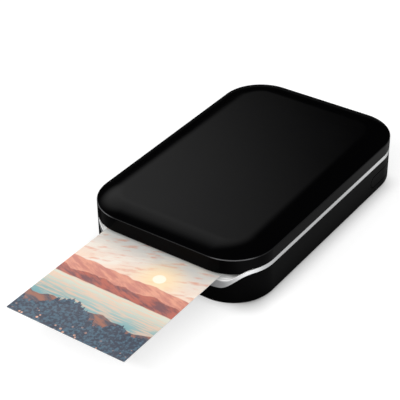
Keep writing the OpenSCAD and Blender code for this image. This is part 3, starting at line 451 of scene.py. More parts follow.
class Kit:
    """Adds nodes to one node tree.
    node() takes a type, settings, which are set first, and values or wires for the sockets."""

    def __init__(self, owner):
        owner.use_nodes = True
        self.tree = owner.node_tree
        self.tree.nodes.clear()

    def node(self, kind, settings=None, sockets=None, output=0):
        node = self.tree.nodes.new(kind)
        for name, value in (settings or {}).items():
            setattr(node, name, value)
        for name, value in (sockets or {}).items():
            if isinstance(value, Wire):
                self.tree.links.new(value.socket, node.inputs[name])
            else:
                node.inputs[name].default_value = value
        return Wire(self, node.outputs[output]) if node.outputs else None

    def place(self):
        """Object coordinates, in metres."""
        return self.node("ShaderNodeTexCoord", output=3)

    def axes(self, vector=None):
        """The x, y and z of a vector, or of the object coordinates."""
        split = self.node("ShaderNodeSeparateXYZ", {}, {0: vector or self.place()})
        return [Wire(self, split.socket.node.outputs[i]) for i in range(3)]

    def dot(self, direction):
        """Cosine of the angle between the coordinates, as a direction, and another direction."""
        return self.node(
            "ShaderNodeVectorMath", dict(operation="DOT_PRODUCT"), {0: self.place(), 1: direction}, output=1
        )

    def distance(self, one, other):
        return self.node("ShaderNodeVectorMath", dict(operation="DISTANCE"), {0: one, 1: other}, output=1)

    def vector(self, x, y, z):
        return self.node("ShaderNodeCombineXYZ", {}, {0: x, 1: y, 2: z})

    def noise(self, scale, detail, roughness=0.5, vector=None, stretch=None):
        """Noise of about 1 / scale metres, from 0 to 1."""
        vector = vector or self.place()
        if stretch:
            vector = self.node("ShaderNodeMapping", {}, {"Vector": vector, "Scale": stretch})
        return self.node(
            "ShaderNodeTexNoise", {},
            {"Vector": vector, "Scale": scale, "Detail": detail, "Roughness": roughness},
        )

    def ramp(self, value, low, high, out_low=0.0, out_high=1.0):
        """Maps low..high smoothly to out_low..out_high, held at both ends."""
        return self.node(
            "ShaderNodeMapRange",
            dict(interpolation_type="SMOOTHSTEP", clamp=True),
            {0: value, 1: low, 2: high, 3: out_low, 4: out_high},
        )

    def mix(self, factor, one, two):
        """Colour mix."""
        one, two = (colour if isinstance(colour, Wire) else (*colour, 1.0) for colour in (one, two))
        return self.node("ShaderNodeMix", dict(data_type="RGBA"), {0: factor, 6: one, 7: two}, output=2)

    def absolute(self, value):
        return self.node("ShaderNodeMath", dict(operation="ABSOLUTE"), {0: value})

    def bump(self, height, depth, strength):
        return self.node("ShaderNodeBump", {}, {"Height": height, "Distance": depth, "Strength": strength})

    def principled(self, sockets):
        """Principled shader into the material's output."""
        given = {
            name: (*value, 1.0) if isinstance(value, tuple) and len(value) == 3 else value
            for name, value in sockets.items()
        }
        shader = self.node("ShaderNodeBsdfPrincipled", {}, given)
        self.node("ShaderNodeOutputMaterial", {}, {0: shader})


def new_material(name):
    material = bpy.data.materials.new(name)
    return material, Kit(material)


# ---- Finishes ----

def gloss_black():
    """Polished black with a faint orange peel. A lighter line along its crease is a painted highlight,
    brightest at the front corners.
    """
    material, kit = new_material("gloss_black")
    peel = kit.noise(260, 1.0)
    haze = kit.noise(45, 3.0)
    x, y, z = kit.axes()
    # Painted highlight: a lighter line along the crease, strongest round the front corners and weaker along the
    # sides and back
    line = kit.ramp(kit.absolute(z - crease_z), 0.05 * MM, 0.17 * MM, 1.0, 0.0)
    off_corner = kit.distance(kit.vector(kit.absolute(x), y, 0.0), (*crease_highlight_corner, 0))
    highlight_falloff = kit.ramp(off_corner, *crease_highlight_reach, 1.0, 0.15) * kit.ramp(y, -48 * MM, -36 * MM, 1.0, 0.6)
    painted_crease_highlight = line * highlight_falloff * kit.ramp(haze, 0.3, 0.6, 0.75, 1.0)
    black = kit.mix(haze, (0.0008, 0.0008, 0.0009), (0.0012, 0.0012, 0.0014))
    kit.principled({
        "Base Color": kit.mix(painted_crease_highlight, black, (0.13, 0.131, 0.135)),
        "Roughness": kit.ramp(haze, 0.3, 0.7, 0.10, 0.14),
        "IOR": 1.085,
        "Normal": kit.bump(peel, 0.00001, 0.25),
    })
    return material


def satin_black():
    """Fine spark-eroded texture on black moulding."""
    material, kit = new_material("satin_black")
    grain = kit.noise(5200, 2.0)
    cloud = kit.noise(70, 3.0)
    kit.principled({
        "Base Color": kit.mix(cloud, (0.0012, 0.0012, 0.0013), (0.0022, 0.0022, 0.0024)),
        "Roughness": kit.ramp(grain, 0.3, 0.7, 0.28, 0.38),
        "IOR": 1.07,
        "Normal": kit.bump(grain, 0.00001, 0.5),
    })
    return material


def silver_trim():
    """Satin silver coat with fine flake. Inside the lip the moulding is uncoated and pale, and that pale colour
    also covers the lip's rounded top edge as a painted highlight.
    """
    material, kit = new_material("silver_trim")
    flake = kit.node("ShaderNodeTexVoronoi", {}, {"Vector": kit.place(), "Scale": 9000}, output=1)
    tone = kit.axes(flake)[0]
    x, y, z = kit.axes()
    past_corner = kit.node(
        "ShaderNodeMath", dict(operation="MAXIMUM"), {0: kit.absolute(x) - (side_x - corner_r), 1: 0.0}
    )
    from_centre = kit.distance(kit.vector(past_corner, y, 0.0), (0, corner_r - back_y, 0))
    # Pale uncoated moulding inside the lip; on the lip's rounded top edge the same pale colour is a painted
    # highlight
    bare_and_rim_highlight = (
        kit.ramp(from_centre, corner_r - 0.14 * MM, corner_r - 0.06 * MM, 1.0, 0.0)
        * kit.ramp(y, sweep_y - 4 * MM, sweep_y - 2 * MM, 1.0, 0.0)
    )
    coat = kit.mix(tone, (0.62, 0.625, 0.635), (0.72, 0.725, 0.73))
    kit.principled({
        "Base Color": kit.mix(bare_and_rim_highlight, coat, (0.94, 0.94, 0.93)),
        "Metallic": 0.85 - 0.85 * bare_and_rim_highlight,
        "Roughness": kit.ramp(tone, 0.0, 1.0, 0.28, 0.36),
        "Normal": kit.bump(kit.noise(3000, 2.0), 0.000004, 0.4),
    })
    return material


def tint(red, green, blue):
    """Linear colour of an 8-bit screen colour."""
    shares = [value / 255 for value in (red, green, blue)]
    return tuple(v / 12.92 if v < 0.04045 else ((v + 0.055) / 1.055) ** 2.4 for v in shares)


# Skylines of the print: mean height and rise in millimetres, then scale, detail and place of the noise
FAR_HILLS = (36.5, 9, 42, 3.0, 0.31)
NEAR_HILLS = (31.0, 11, 58, 4.0, 0.82)
REED_BANK = (13.5, 12, 70, 2.0, 1.7)
TREE_TOPS = (12.0, 26, 60, 1.0, 2.63)
MEADOW_EDGE = (6.0, 5, 90, 2.0, 3.9)
SUN_PLACE = (9 * MM, 41.5 * MM, 0)
SHORE_Y = 26 * MM


def crest(kit, x, height, rise, scale, detail, offset):
    """Height of a skyline over the sheet's width."""
    line = kit.noise(scale, detail, 0.55, kit.vector(x, offset, 0.0))
    return height * MM + (line - 0.5) * (rise * MM)


def below(kit, y, line, soft=0.25 * MM):
    """Mask of what lies below a line, with a soft edge."""
    return kit.ramp(y - line, -soft, soft, 1.0, 0.0)


def sunset(kit, x, y):
    """Pale sky with slanting clouds and a low sun."""
    slant = kit.vector(x * 0.8 + y * 0.45, y * 3.2 - x * 1.2, 0.0)
    cloud = kit.ramp(kit.noise(55, 5.0, 0.6, slant), 0.46, 0.66)
    wisp = kit.ramp(kit.noise(150, 4.0, 0.55, slant), 0.5, 0.72)
    off_sun = kit.distance(kit.vector(x, y, 0.0), SUN_PLACE)
    picture = kit.mix(kit.ramp(y, 30 * MM, 62 * MM), tint(246, 214, 190), tint(214, 222, 222))
    picture = kit.mix(cloud * 0.85, picture, tint(240, 232, 220))
    picture = kit.mix(wisp * 0.75, picture, tint(224, 150, 118))
    picture = kit.mix(kit.ramp(off_sun, 1 * MM, 13 * MM, 0.85, 0.0), picture, tint(255, 226, 178))
    return kit.mix(kit.ramp(off_sun, 2.2 * MM, 2.6 * MM, 1.0, 0.0), picture, tint(255, 246, 226))


def ranges(kit, x, y, strata, picture):
    """A far and a near range of hills."""
    far = kit.mix(kit.ramp(strata, 0.35, 0.65), tint(226, 158, 132), tint(196, 122, 108))
    picture = kit.mix(below(kit, y, crest(kit, x, *FAR_HILLS)), picture, far)
    near_hills = kit.mix(kit.ramp(strata, 0.4, 0.62), tint(178, 92, 74), tint(112, 62, 66))
    return kit.mix(below(kit, y, crest(kit, x, *NEAR_HILLS)), picture, near_hills)


def lake(kit, x, y, strata, picture):
    """Rippled lake with a reedy bank."""
    ripple = kit.ramp(kit.noise(300, 3.0, 0.5, kit.vector(x * 0.35, y * 3.4, 0.0)), 0.42, 0.6)
    water = kit.mix(kit.ramp(y, 12 * MM, 26 * MM), tint(110, 160, 165), tint(214, 214, 198))
    water = kit.mix(ripple * 0.6, water, tint(236, 190, 160))
    shore = SHORE_Y + (strata - 0.5) * (0.8 * MM)
    picture = kit.mix(below(kit, y, shore, 0.2 * MM), picture, water)
    reeds = kit.mix(kit.ramp(strata, 0.4, 0.6), tint(70, 66, 78), tint(150, 96, 76))
    return kit.mix(below(kit, y, crest(kit, x, *REED_BANK)), picture, reeds)


def trees(kit, x, y, picture):
    """Dark trees with a flowering meadow before them."""
    leaf = kit.noise(900, 4.0, 0.6)
    wood = kit.mix(kit.ramp(leaf, 0.42, 0.64), tint(22, 34, 58), tint(58, 92, 112))
    spikes = (kit.noise(620, 2.0, 0.5, kit.vector(x, 0.4, 0.0)) - 0.5) * (9 * MM)
    picture = kit.mix(below(kit, y, crest(kit, x, *TREE_TOPS) + spikes), picture, wood)
    spark = kit.node("ShaderNodeTexVoronoi", {}, {"Vector": kit.place(), "Scale": 520})
    bloom = kit.ramp(spark, 0.18, 0.3, 1.0, 0.0) * kit.ramp(kit.noise(120, 2.0), 0.45, 0.6)
    meadow = kit.mix(bloom, wood, tint(232, 176, 150))
    return kit.mix(below(kit, y, crest(kit, x, *MEADOW_EDGE)), picture, meadow)


def print_gloss():
    """Glossy print of a valley at sunset on white stock: sky, two ranges, a lake and dark trees in front."""
    material, kit = new_material("print_gloss")
    x, y, z = kit.axes()
    y = y - sheet_low.y
    strata = kit.noise(260, 4.0, 0.6, kit.vector(x * 0.5, y * 1.6 + x * 0.5, 0.0))
    picture = ranges(kit, x, y, strata, sunset(kit, x, y))
    picture = trees(kit, x, y, lake(kit, x, y, strata, picture))
    face = kit.ramp(z, sheet_high.z - 0.05 * MM, sheet_high.z - 0.01 * MM)
    kit.principled({
        "Base Color": kit.mix(face, (0.86, 0.86, 0.85), picture),
        "Roughness": kit.ramp(kit.noise(90, 2.0), 0.3, 0.7, 0.30, 0.38),
        "IOR": 1.35,
    })
    return material


def moulded(name, dark, light, roughness=0.5, grain_scale=3500):
    """Plain moulded plastic with a fine grain and a slow change of tone."""
    material, kit = new_material(name)
    grain = kit.noise(grain_scale, 2.0)
    cloud = kit.noise(120, 3.0)
    kit.principled({
        "Base Color": kit.mix(cloud, dark, light),
        "Roughness": kit.ramp(grain, 0.3, 0.7, roughness - 0.06, roughness + 0.06),
        "Normal": kit.bump(grain, 0.00001, 0.4),
    })
    return material


def metal(name, dark, light, roughness, stretch=(1.0, 60.0, 60.0), scale=160):
    """Metal with fine lines along one axis."""
    material, kit = new_material(name)
    lines = kit.noise(scale, 3.0, stretch=stretch)
    kit.principled({
        "Base Color": kit.mix(lines, dark, light),
        "Metallic": 1.0,
        "Roughness": kit.ramp(lines, 0.3, 0.7, roughness - 0.07, roughness + 0.07),
        "Normal": kit.bump(lines, 0.000004, 0.4),
    })
    return material


# Dark and light colour, and where they differ: roughness and the grain's scale
PLASTICS = {
    "grey_plastic": ((0.022, 0.022, 0.024), (0.032, 0.032, 0.035)),
    "switch_black": ((0.014, 0.014, 0.015), (0.022, 0.022, 0.024), 0.45),
    "plunger_white": ((0.62, 0.62, 0.58), (0.70, 0.70, 0.66), 0.4),
    "clear_pipe": ((0.70, 0.70, 0.68), (0.80, 0.80, 0.78), 0.3),
    "lamp": ((0.74, 0.72, 0.55), (0.84, 0.82, 0.66), 0.3),
    "pad_rubber": ((0.10, 0.05, 0.03), (0.14, 0.07, 0.045), 0.8, 2500),
    "roller_rubber": ((0.016, 0.016, 0.017), (0.026, 0.026, 0.028), 0.75, 1800),
    "gear_plastic": ((0.70, 0.70, 0.66), (0.78, 0.78, 0.74), 0.38),
    "ceramic": ((0.70, 0.69, 0.63), (0.78, 0.77, 0.72), 0.25),
    "ribbon_film": ((0.40, 0.17, 0.03), (0.50, 0.23, 0.05), 0.3),
    "board_green": ((0.008, 0.075, 0.025), (0.012, 0.105, 0.035), 0.3),
    "chip_black": ((0.012, 0.012, 0.013), (0.02, 0.02, 0.022), 0.5),
    "connector_white": ((0.70, 0.67, 0.58), (0.78, 0.75, 0.66), 0.45),
    "foam": ((0.62, 0.62, 0.62), (0.74, 0.74, 0.74), 0.9, 1500),
    "lead_red": ((0.36, 0.015, 0.015), (0.45, 0.03, 0.03), 0.5),
    "lead_blue": ((0.015, 0.025, 0.27), (0.03, 0.04, 0.34), 0.5),
    "plate_black": ((0.022, 0.022, 0.024), (0.032, 0.032, 0.035)),
}

# Dark and light colour, roughness, and where they differ: the lines' stretch and scale
METALS = {
    "socket_steel": ((0.55, 0.56, 0.58), (0.68, 0.69, 0.71), 0.25),
    "screw_steel": ((0.30, 0.30, 0.32), (0.42, 0.42, 0.44), 0.3, (1, 1, 1), 900),
    "sheet_steel": ((0.42, 0.43, 0.45), (0.54, 0.55, 0.57), 0.38, (8.0, 1.0, 8.0)),
    "shaft_steel": ((0.52, 0.53, 0.55), (0.62, 0.63, 0.65), 0.18, (1.0, 40.0, 40.0)),
    "bronze": ((0.40, 0.24, 0.09), (0.52, 0.34, 0.14), 0.4, (1, 1, 1), 1500),
    "motor_steel": ((0.46, 0.47, 0.49), (0.58, 0.59, 0.61), 0.28, (1.0, 30.0, 30.0)),
    "rotor_steel": ((0.20, 0.16, 0.13), (0.30, 0.25, 0.2), 0.4, (60.0, 1.0, 1.0)),
    "pinion_brass": ((0.55, 0.38, 0.13), (0.66, 0.47, 0.18), 0.25, (30.0, 1.0, 1.0)),
    "head_aluminium": ((0.46, 0.47, 0.49), (0.58, 0.59, 0.61), 0.35),
    "spring_steel": ((0.42, 0.42, 0.44), (0.54, 0.54, 0.56), 0.25, (1, 1, 1), 1200),
    "shield_tin": ((0.48, 0.49, 0.5), (0.58, 0.59, 0.6), 0.3, (1, 1, 1), 300),
    "pouch_foil": ((0.42, 0.44, 0.47), (0.56, 0.58, 0.61), 0.35, (1, 1, 1), 250),
}

MATERIALS = {
    "gloss_black": gloss_black(),
    "satin_black": satin_black(),
    "silver_trim": silver_trim(),
    "print_gloss": print_gloss(),
    **{name: moulded(name, *look) for name, look in PLASTICS.items()},
    **{name: metal(name, *look) for name, look in METALS.items()},
}


def dress_nodes():
    """Gives each CAD node the finish of its slot."""
    for part in frame["record"]["subparts"]:
        mesh = frame["nodes"][part["node"]].data
        mesh.materials.clear()
        mesh.materials.append(MATERIALS[part["material_slot"]])


# ---- Housing ----

def crown_profile():
    """Side, rounded crease, curved shoulder and the first of the flat top, from the slot's height up."""
    arc_r = (shoulder_w ** 2 + crown_h ** 2) / (2 * crown_h)
    arc_c = (shoulder_w, crown_z - arc_r)
    reach = arc_r - crease_r
    edge_c = (crease_r, arc_c[1] + math.sqrt(reach ** 2 - (shoulder_w - crease_r) ** 2))
    lean = math.degrees(math.atan2(edge_c[1] - arc_c[1], edge_c[0] - arc_c[0]))
    crease = arc(edge_c, crease_r, 180, lean, 6)
    shoulder = arc(arc_c, arc_r, lean, 90, 18)
    return [(0, slot_top)] + crease + shoulder[1:] + [(shoulder_w + flat_ring, crown_z)]


def guide_lugs():
    """The cover's four lugs: each is a web off the wall, a leg and a toe that runs in the rail's groove."""
    y = lug_ys[0]
    leg_x = rail_x - leg_gap
    ends = (y - lug_l / 2, y + lug_l / 2)
    web_top = lug_web_z + lug_web_t
    toe_z = groove_low + toe_gap
    lug = block("lug_leg", (leg_x - lug_t, ends[0], toe_z), (leg_x, ends[1], web_top))
    wall_x = side_x - cover_wall + 2 * weld
    web = block("lug_web", (leg_x - lug_t, ends[0], lug_web_z), (wall_x, ends[1], web_top))
    toe = block("lug_toe", (leg_x - weld, ends[0], toe_z), (groove_x - toe_gap, ends[1], toe_z + toe_t))
    combine(lug, web, "UNION")
    combine(lug, toe, "UNION")
    return mirrored(join(shifted(lug, (0, lug_ys[1] - y, 0))))


def hanging_ears():
    """Ears that hold the pressure plate's pin under the cover."""
    x0, x1, ear_r = hang_x - hang_half, hang_x + hang_half, 2 * pin_r
    ear = rod("hanging_ear", (x0, pin_y, pin_z), (x1, pin_y, pin_z), ear_r, 8)
    stalk = block("ear_stalk", (x0, pin_y - ear_r, pin_z), (x1, pin_y + ear_r, crown_z - cover_wall + 3 * weld))
    combine(ear, stalk, "UNION")
    x0, x1 = x0 - hang_half, x1 + hang_half
    bore = rod("pin_bore", (x0, pin_y, pin_z), (x1, pin_y, pin_z), pin_r + pin_slip, 8)
    combine(ear, bore, "DIFFERENCE")
    return mirrored(ear)


def top_cover():
    """Crowned shell whose lower edge follows the trim, with the lugs and ears inside."""
    profile = crown_profile()
    cover = plan_face("cover_shell", 0, slot_top)
    raise_face(steps_between(profile))
    pick(cover, "FACE", lambda face: face.normal.z < -0.9)
    bpy.ops.mesh.delete(type="FACE")
    bpy.ops.object.mode_set(mode="OBJECT")

    def edge_line(place):
        return place if place.z > slot_top + rim_slack else Vector((place.x, place.y, cover_edge(place)))

    modify(cover, "SOLIDIFY", thickness=cover_wall, offset=-1, use_even_offset=True)
    reshape(cover, edge_line)
    soften(cover, cover_edge_r)
    combine(cover, join([guide_lugs(), hanging_ears()]), "UNION")
    smooth(cover)
    finish(cover, "gloss_black", "cover", "top_cover")


def key_bar(name, grow):
    """Pill-shaped bar through the side wall, as large as the key's face plus a margin all round."""
    mid = (face_low + face_high) / 2
    length, height = face_high.y - face_low.y + 2 * grow, face_high.z - face_low.z + 2 * grow
    return bar(name, (length, height), (side_x - corner_r / 2, mid.y, mid.z), (side_x + MM, mid.y, mid.z),
               height / 2 - near)


def power_button():
    """Cap that follows the side's corner, with a flange behind the wall and a stem to the switch."""
    key = ring("key_cap", 0, key_wall + weld, 0, base_high.z)
    combine(key, key_bar("key_outline", 0), "INTERSECT")
    flange = ring("key_flange", key_wall, flange_t, 0, base_high.z)
    combine(flange, key_bar("flange_outline", flange_rim), "INTERSECT")
    combine(key, flange, "UNION")
    mid = (face_low + face_high) / 2
    stem = block("key_stem", (plunger_end, mid.y - stem_half, mid.z - stem_half),
                 (side_x - key_wall - flange_t / 2, mid.y + stem_half, mid.z + stem_half))
    combine(key, stem, "UNION")
    soften(key, key_edge_r)
    finish(key, "satin_black", "power_key", "power_button")


def rear_openings():
    """Cutters for the charging socket, the two light pipes and the reset key."""
    low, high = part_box("charging_socket")
    pipes_low, pipes_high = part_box("light_pipes")
    reset_low, reset_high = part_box("reset_button")
    z = (reset_low.z + reset_high.z) / 2
    inside, outside = back_y - cut_depth, back_y + MM
    socket_x = (low.x + high.x) / 2
    socket = bar("socket_opening", (high.x - low.x + 2 * socket_room, socket_h),
                 (socket_x, inside, z), (socket_x, outside, z), socket_h / 2 - near)
    pipe_xs = (pipes_low.x + pipe_collar_r, pipes_high.x - pipe_collar_r)
    pipes = shifted(rod("pipe_opening", (pipe_xs[0], inside, z), (pipe_xs[0], outside, z), pipe_hole_r),
                    (pipe_xs[1] - pipe_xs[0], 0, 0))
    reset_x = (reset_low.x + reset_high.x) / 2
    reset = rod("reset_opening", (reset_x, inside, z), (reset_x, outside, z), reset_hole_r)
    return join([socket, *pipes, reset])


def floor_posts(places, height, radius):
    """Round posts on the base's floor, each with a pilot hole."""
    x, y = places[0]
    post = rod("floor_post", (x, y, floor_t - weld), (x, y, height), radius)
    hole = rod("pilot_hole", (x, y, pilot_foot), (x, y, height + MM), pilot_r)
    combine(post, hole, "DIFFERENCE")
    return join(shifted(post, *[(other[0] - x, other[1] - y, 0) for other in places[1:]]))


def base_shell():
    """Tub with a rounded foot, whose rim dips under the lip."""
    base = plan_face("base_tub", 0, base_high.z, up=False)
    edge = [(base_edge_r * (1 - math.cos(math.radians(a))), base_edge_r * math.sin(math.radians(a)))
            for a in range(0, 91, 6)]
    raise_face([(0, base_high.z - base_edge_r)] + steps_between(edge) + [(foot_ring, 0)])
    pick(base, "FACE", lambda face: face.normal.z > 0.9)
    bpy.ops.mesh.delete(type="FACE")
    bpy.ops.object.mode_set(mode="OBJECT")

    def rim_line(place):
        if place.z < base_high.z - rim_slack:
            return place
        if place.y > sweep_y:
            return Vector((place.x, place.y, seam_h))
        return Vector((place.x, place.y, low_edge(place.x)))

    modify(base, "SOLIDIFY", thickness=floor_t, offset=-1, use_even_offset=True)
    reshape(base, rim_line)
    combine(base, key_bar("key_opening", key_gap), "DIFFERENCE")
    combine(base, rear_openings(), "DIFFERENCE")
    soften(base, rim_edge_r)
    posts = join([floor_posts(ear_places, ear_h, ear_r), floor_posts(post_places, post_h, post_r)])
    combine(base, posts, "UNION")
    smooth(base)
    finish(base, "satin_black", "body", "base_shell")


def printed_photo():
    """Sheet with the picture on its top face."""
    mid = (sheet_low + sheet_high) / 2
    sheet = bar("print_sheet", (sheet_high.x - sheet_low.x, sheet_high.y - sheet_low.y),
                (mid.x, mid.y, sheet_low.z), (mid.x, mid.y, sheet_high.z), sheet_corner_r, 4)
    soften(sheet, sheet_edge_r)
    finish(sheet, "print_gloss", "print", "printed_photo")


def exit_ramp():
    """Sheet of plastic inside the lip. It rises to the rollers and curls up at both sides under the sweep."""
    start = front_y + band_t - ramp_root
    bpy.ops.object.select_all(action="DESELECT")
    bpy.ops.mesh.primitive_grid_add(x_subdivisions=72, y_subdivisions=10, size=2)
    ramp = bpy.context.object
    ramp.name = "exit_ramp"

    def curled(place):
        part = (place.y + 1) / 2
        y = start + (ramp_end - start) * part
        depth = max(0.0, -y - (back_y - corner_r))
        inner_r = corner_r - band_t + ramp_root
        reach = side_x - corner_r + math.sqrt(inner_r ** 2 - depth ** 2)
        x = place.x * min(reach, ramp_reach)
        rise, side = lip_top + (ramp_top - lip_top) * part, top_edge(x)
        return Vector((x, y, (rise + side + math.hypot(rise - side, ramp_curl)) / 2))

    reshape(ramp, curled)
    modify(ramp, "SOLIDIFY", thickness=ramp_t, offset=-1)
    return ramp


def guide_rails():
    """Rails along both sides with a groove for the cover's toes and notches where the lugs drop in."""
    over = 0.5 * MM
    x_out, y_out = rail_x - over, rail_y + over
    rail = block("guide_rail", (rail_x, -rail_y, rail_low), (side_x - band_t + weld, rail_y, band_top))
    step = block("rail_step", (side_x - band_t, -y_out, rail_low - over), (side_x, y_out, base_high.z))
    combine(rail, step, "DIFFERENCE")
    groove = block("rail_groove", (x_out, -y_out, groove_low), (groove_x, y_out, groove_high))
    combine(rail, groove, "DIFFERENCE")
    half = lug_l / 2 + lug_room
    y = lug_ys[0] - cover_travel
    notch = block("lug_notch", (x_out, y - half, groove_high - weld), (groove_x, y + half, band_high.z))
    combine(rail, join(shifted(notch, (0, lug_ys[1] - lug_ys[0], 0))), "DIFFERENCE")
    return mirrored(rail)


def round_lip(band):
    """Rounds the lip's outer top edge, which catches the light and carries the painted highlight of the trim's
    finish. The round fades out where the sweep ends.
    """

    def to_corner(place):
        """Where a place lies from the centre of the plan's corner."""
        return Vector((max(0.0, abs(place.x) - side_x + corner_r), place.y + back_y - corner_r))

    def on_lip(place):
        outer = to_corner(place).length > corner_r - band_t / 2
        return place.y < lip_round_end and outer and abs(place.z - top_edge(place.x)) < line_slack

    def faded(place):
        arm = to_corner(place)
        inset, drop = corner_r - arm.length, top_edge(place.x) - place.z
        if place.y > sweep_y or max(inset, drop) > lip_round + line_slack:
            return place
        lost = lip_fade_share * ease(place.y, lip_fade)
        outward = arm.normalized() * (inset * lost)
        return Vector((place.x + math.copysign(outward.x, place.x), place.y + outward.y, place.z + drop * lost))

    only(band)
    bpy.ops.object.mode_set(mode="EDIT")
    pick(band, "EDGE", lambda edge: all(on_lip(vertex.co) for vertex in edge.verts))
    bpy.ops.mesh.bevel(offset=lip_round, segments=4)
    bpy.ops.object.mode_set(mode="OBJECT")
    reshape(band, faded)


def trim_band():
    """Silver line round the body, which sweeps down into the lip under the slot."""
    band = ring("band_ring", 0, band_t, seam_h, band_top)

    def sweep(place):
        high = place.z > (seam_h + band_top) / 2
        if place.y > sweep_y:
            return Vector((place.x, place.y, back_edge(place.y) if high else place.z))
        return Vector((place.x, place.y, top_edge(place.x) if high else low_edge(place.x)))

    reshape(band, sweep)
    round_lip(band)
    combine(band, exit_ramp(), "UNION")
    rib_y = front_y + band_t
    rib = block("lip_rib", (-rib_half, rib_y - weld, rib_low), (rib_half, rib_y + rib_t, rib_high))
    combine(band, rib, "UNION")
    combine(band, guide_rails(), "UNION")
    soften(band, band_edge_r)
    finish(band, "silver_trim", "body", "trim_band")


# ---- Pieces that flex ----

def coil(name, x, y, z0, z1, radius, wire, turns):
    """Round wire wound round an upright line."""
    bpy.ops.object.select_all(action="DESELECT")
    bpy.ops.mesh.primitive_circle_add(
        vertices=wire_sides, radius=wire, location=(radius, 0, z0 + wire), rotation=(math.pi / 2, 0, 0)
    )
    piece = bpy.context.object
    piece.name = name
    bpy.ops.object.transform_apply(location=True, rotation=True, scale=True)
    modify(piece, "SCREW", angle=2 * math.pi * turns, screw_offset=z1 - z0 - 2 * wire,
           steps=steps_a_turn * turns, render_steps=steps_a_turn * turns)
    bpy.ops.object.mode_set(mode="EDIT")
    bpy.ops.mesh.select_all(action="SELECT")
    bpy.ops.mesh.fill_holes(sides=wire_sides)
    bpy.ops.mesh.select_all(action="SELECT")
    bpy.ops.mesh.normals_make_consistent(inside=False)
    bpy.ops.object.mode_set(mode="OBJECT")
    reshape(piece, lambda place: place + Vector((x, y, 0)))
    return piece


def spring_pair(node, body, wire, turns):
    """Two like springs, one at each end of the node's box, riding on one body."""
    low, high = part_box(node)
    outer = (high.y - low.y) / 2
    x, y = high.x - outer, (low.y + high.y) / 2
    pair = join(shifted(coil(node + "_coils", x, y, low.z, high.z, outer - wire, wire, turns), (-2 * x, 0, 0)))
    smooth(pair)
    finish(pair, "spring_steel", body, node)
    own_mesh(pair)


def ribbon_sheet(low, high, run_top):
    """Film without thickness along the ribbon's route, a little narrower at the connector."""
    back, plug_y, middle = low.y + film_w, high.y - film_plug_l, (low.z + run_top) / 2
    bpy.ops.object.select_all(action="DESELECT")
    bpy.ops.mesh.primitive_grid_add(x_subdivisions=1, y_subdivisions=film_rows, size=1)
    film = bpy.context.object
    film.name = "ribbon_film"

    def upright(place):
        """The first row stands at the run's foot, the second at its top and the rest above it."""
        row = round((place.y + 0.5) * film_rows)
        z = run_top + (high.z - run_top) * (row - 1) / (film_rows - 1) if row else low.z
        return Vector((low.x, back if place.x < 0 else low.y, z))

    def draw_out(x, y, choose):
        pick(film, "EDGE", lambda edge: all(choose(vertex.co) for vertex in edge.verts))
        bpy.ops.mesh.extrude_region_move(TRANSFORM_OT_translate={"value": (x, y, 0)})

    def tapered(place):
        narrower = Vector((place.x, place.y, middle + (place.z - middle) * film_taper))
        return narrower if place.y > high.y - near else place

    reshape(film, upright)
    only(film)
    bpy.ops.object.mode_set(mode="EDIT")
    draw_out(high.x - low.x, 0, lambda place: place.z > high.z - near)
    draw_out(0, plug_y - back, lambda place: place.y > back - near and place.z < run_top + near)
    draw_out(0, film_plug_l, lambda place: place.y > plug_y - near)
    bpy.ops.object.mode_set(mode="OBJECT")
    reshape(film, tapered)
    return film


def head_ribbon():
    """Film off the head's end, down the side bay and back to its connector. It rides on no body."""
    low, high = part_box("head_ribbon")
    run_top = low.z + film_run_h
    film = ribbon_sheet(low, high, run_top)
    modify(film, "SOLIDIFY", thickness=film_t, offset=-1, use_even_offset=True)
    finish(film, "ribbon_film", None, "head_ribbon")
    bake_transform(film)


# ---- Floor, light and camera. Directions are [azimuth, elevation] in degrees, and azimuth 0 is in front ----

FLOOR_SIZE = 8.0
FLOOR_TONE = 0.50
FLOOR_LIFT = 0.62
CONTACT_SOFT = 13 * MM
FILL_LEVEL = 0.66
FILL_SLANT = 0.35
FILL_PLACE = (110, 10)
GLOW_PLACE = (231.9, 41.6)
GLOW_REACH = (7.9, 23.2)
GLOW_LEVEL = 4.6
CAMERA_SIDE = (35.509, 34.324)
CAMERA_ROLL = -0.953
CAMERA_PLACE = (0.233465, -0.359814, 0.295713)
CAMERA_LENS = 118.73


def ray_kinds(kit):
    """Masks of the rays that see a surface directly, and of those that are mirrored or pass through."""
    path = kit.node("ShaderNodeLightPath").socket.node.outputs
    mirrored_rays = Wire(kit, path["Is Glossy Ray"]) + Wire(kit, path["Is Transmission Ray"])
    return Wire(kit, path["Is Camera Ray"]), mirrored_rays


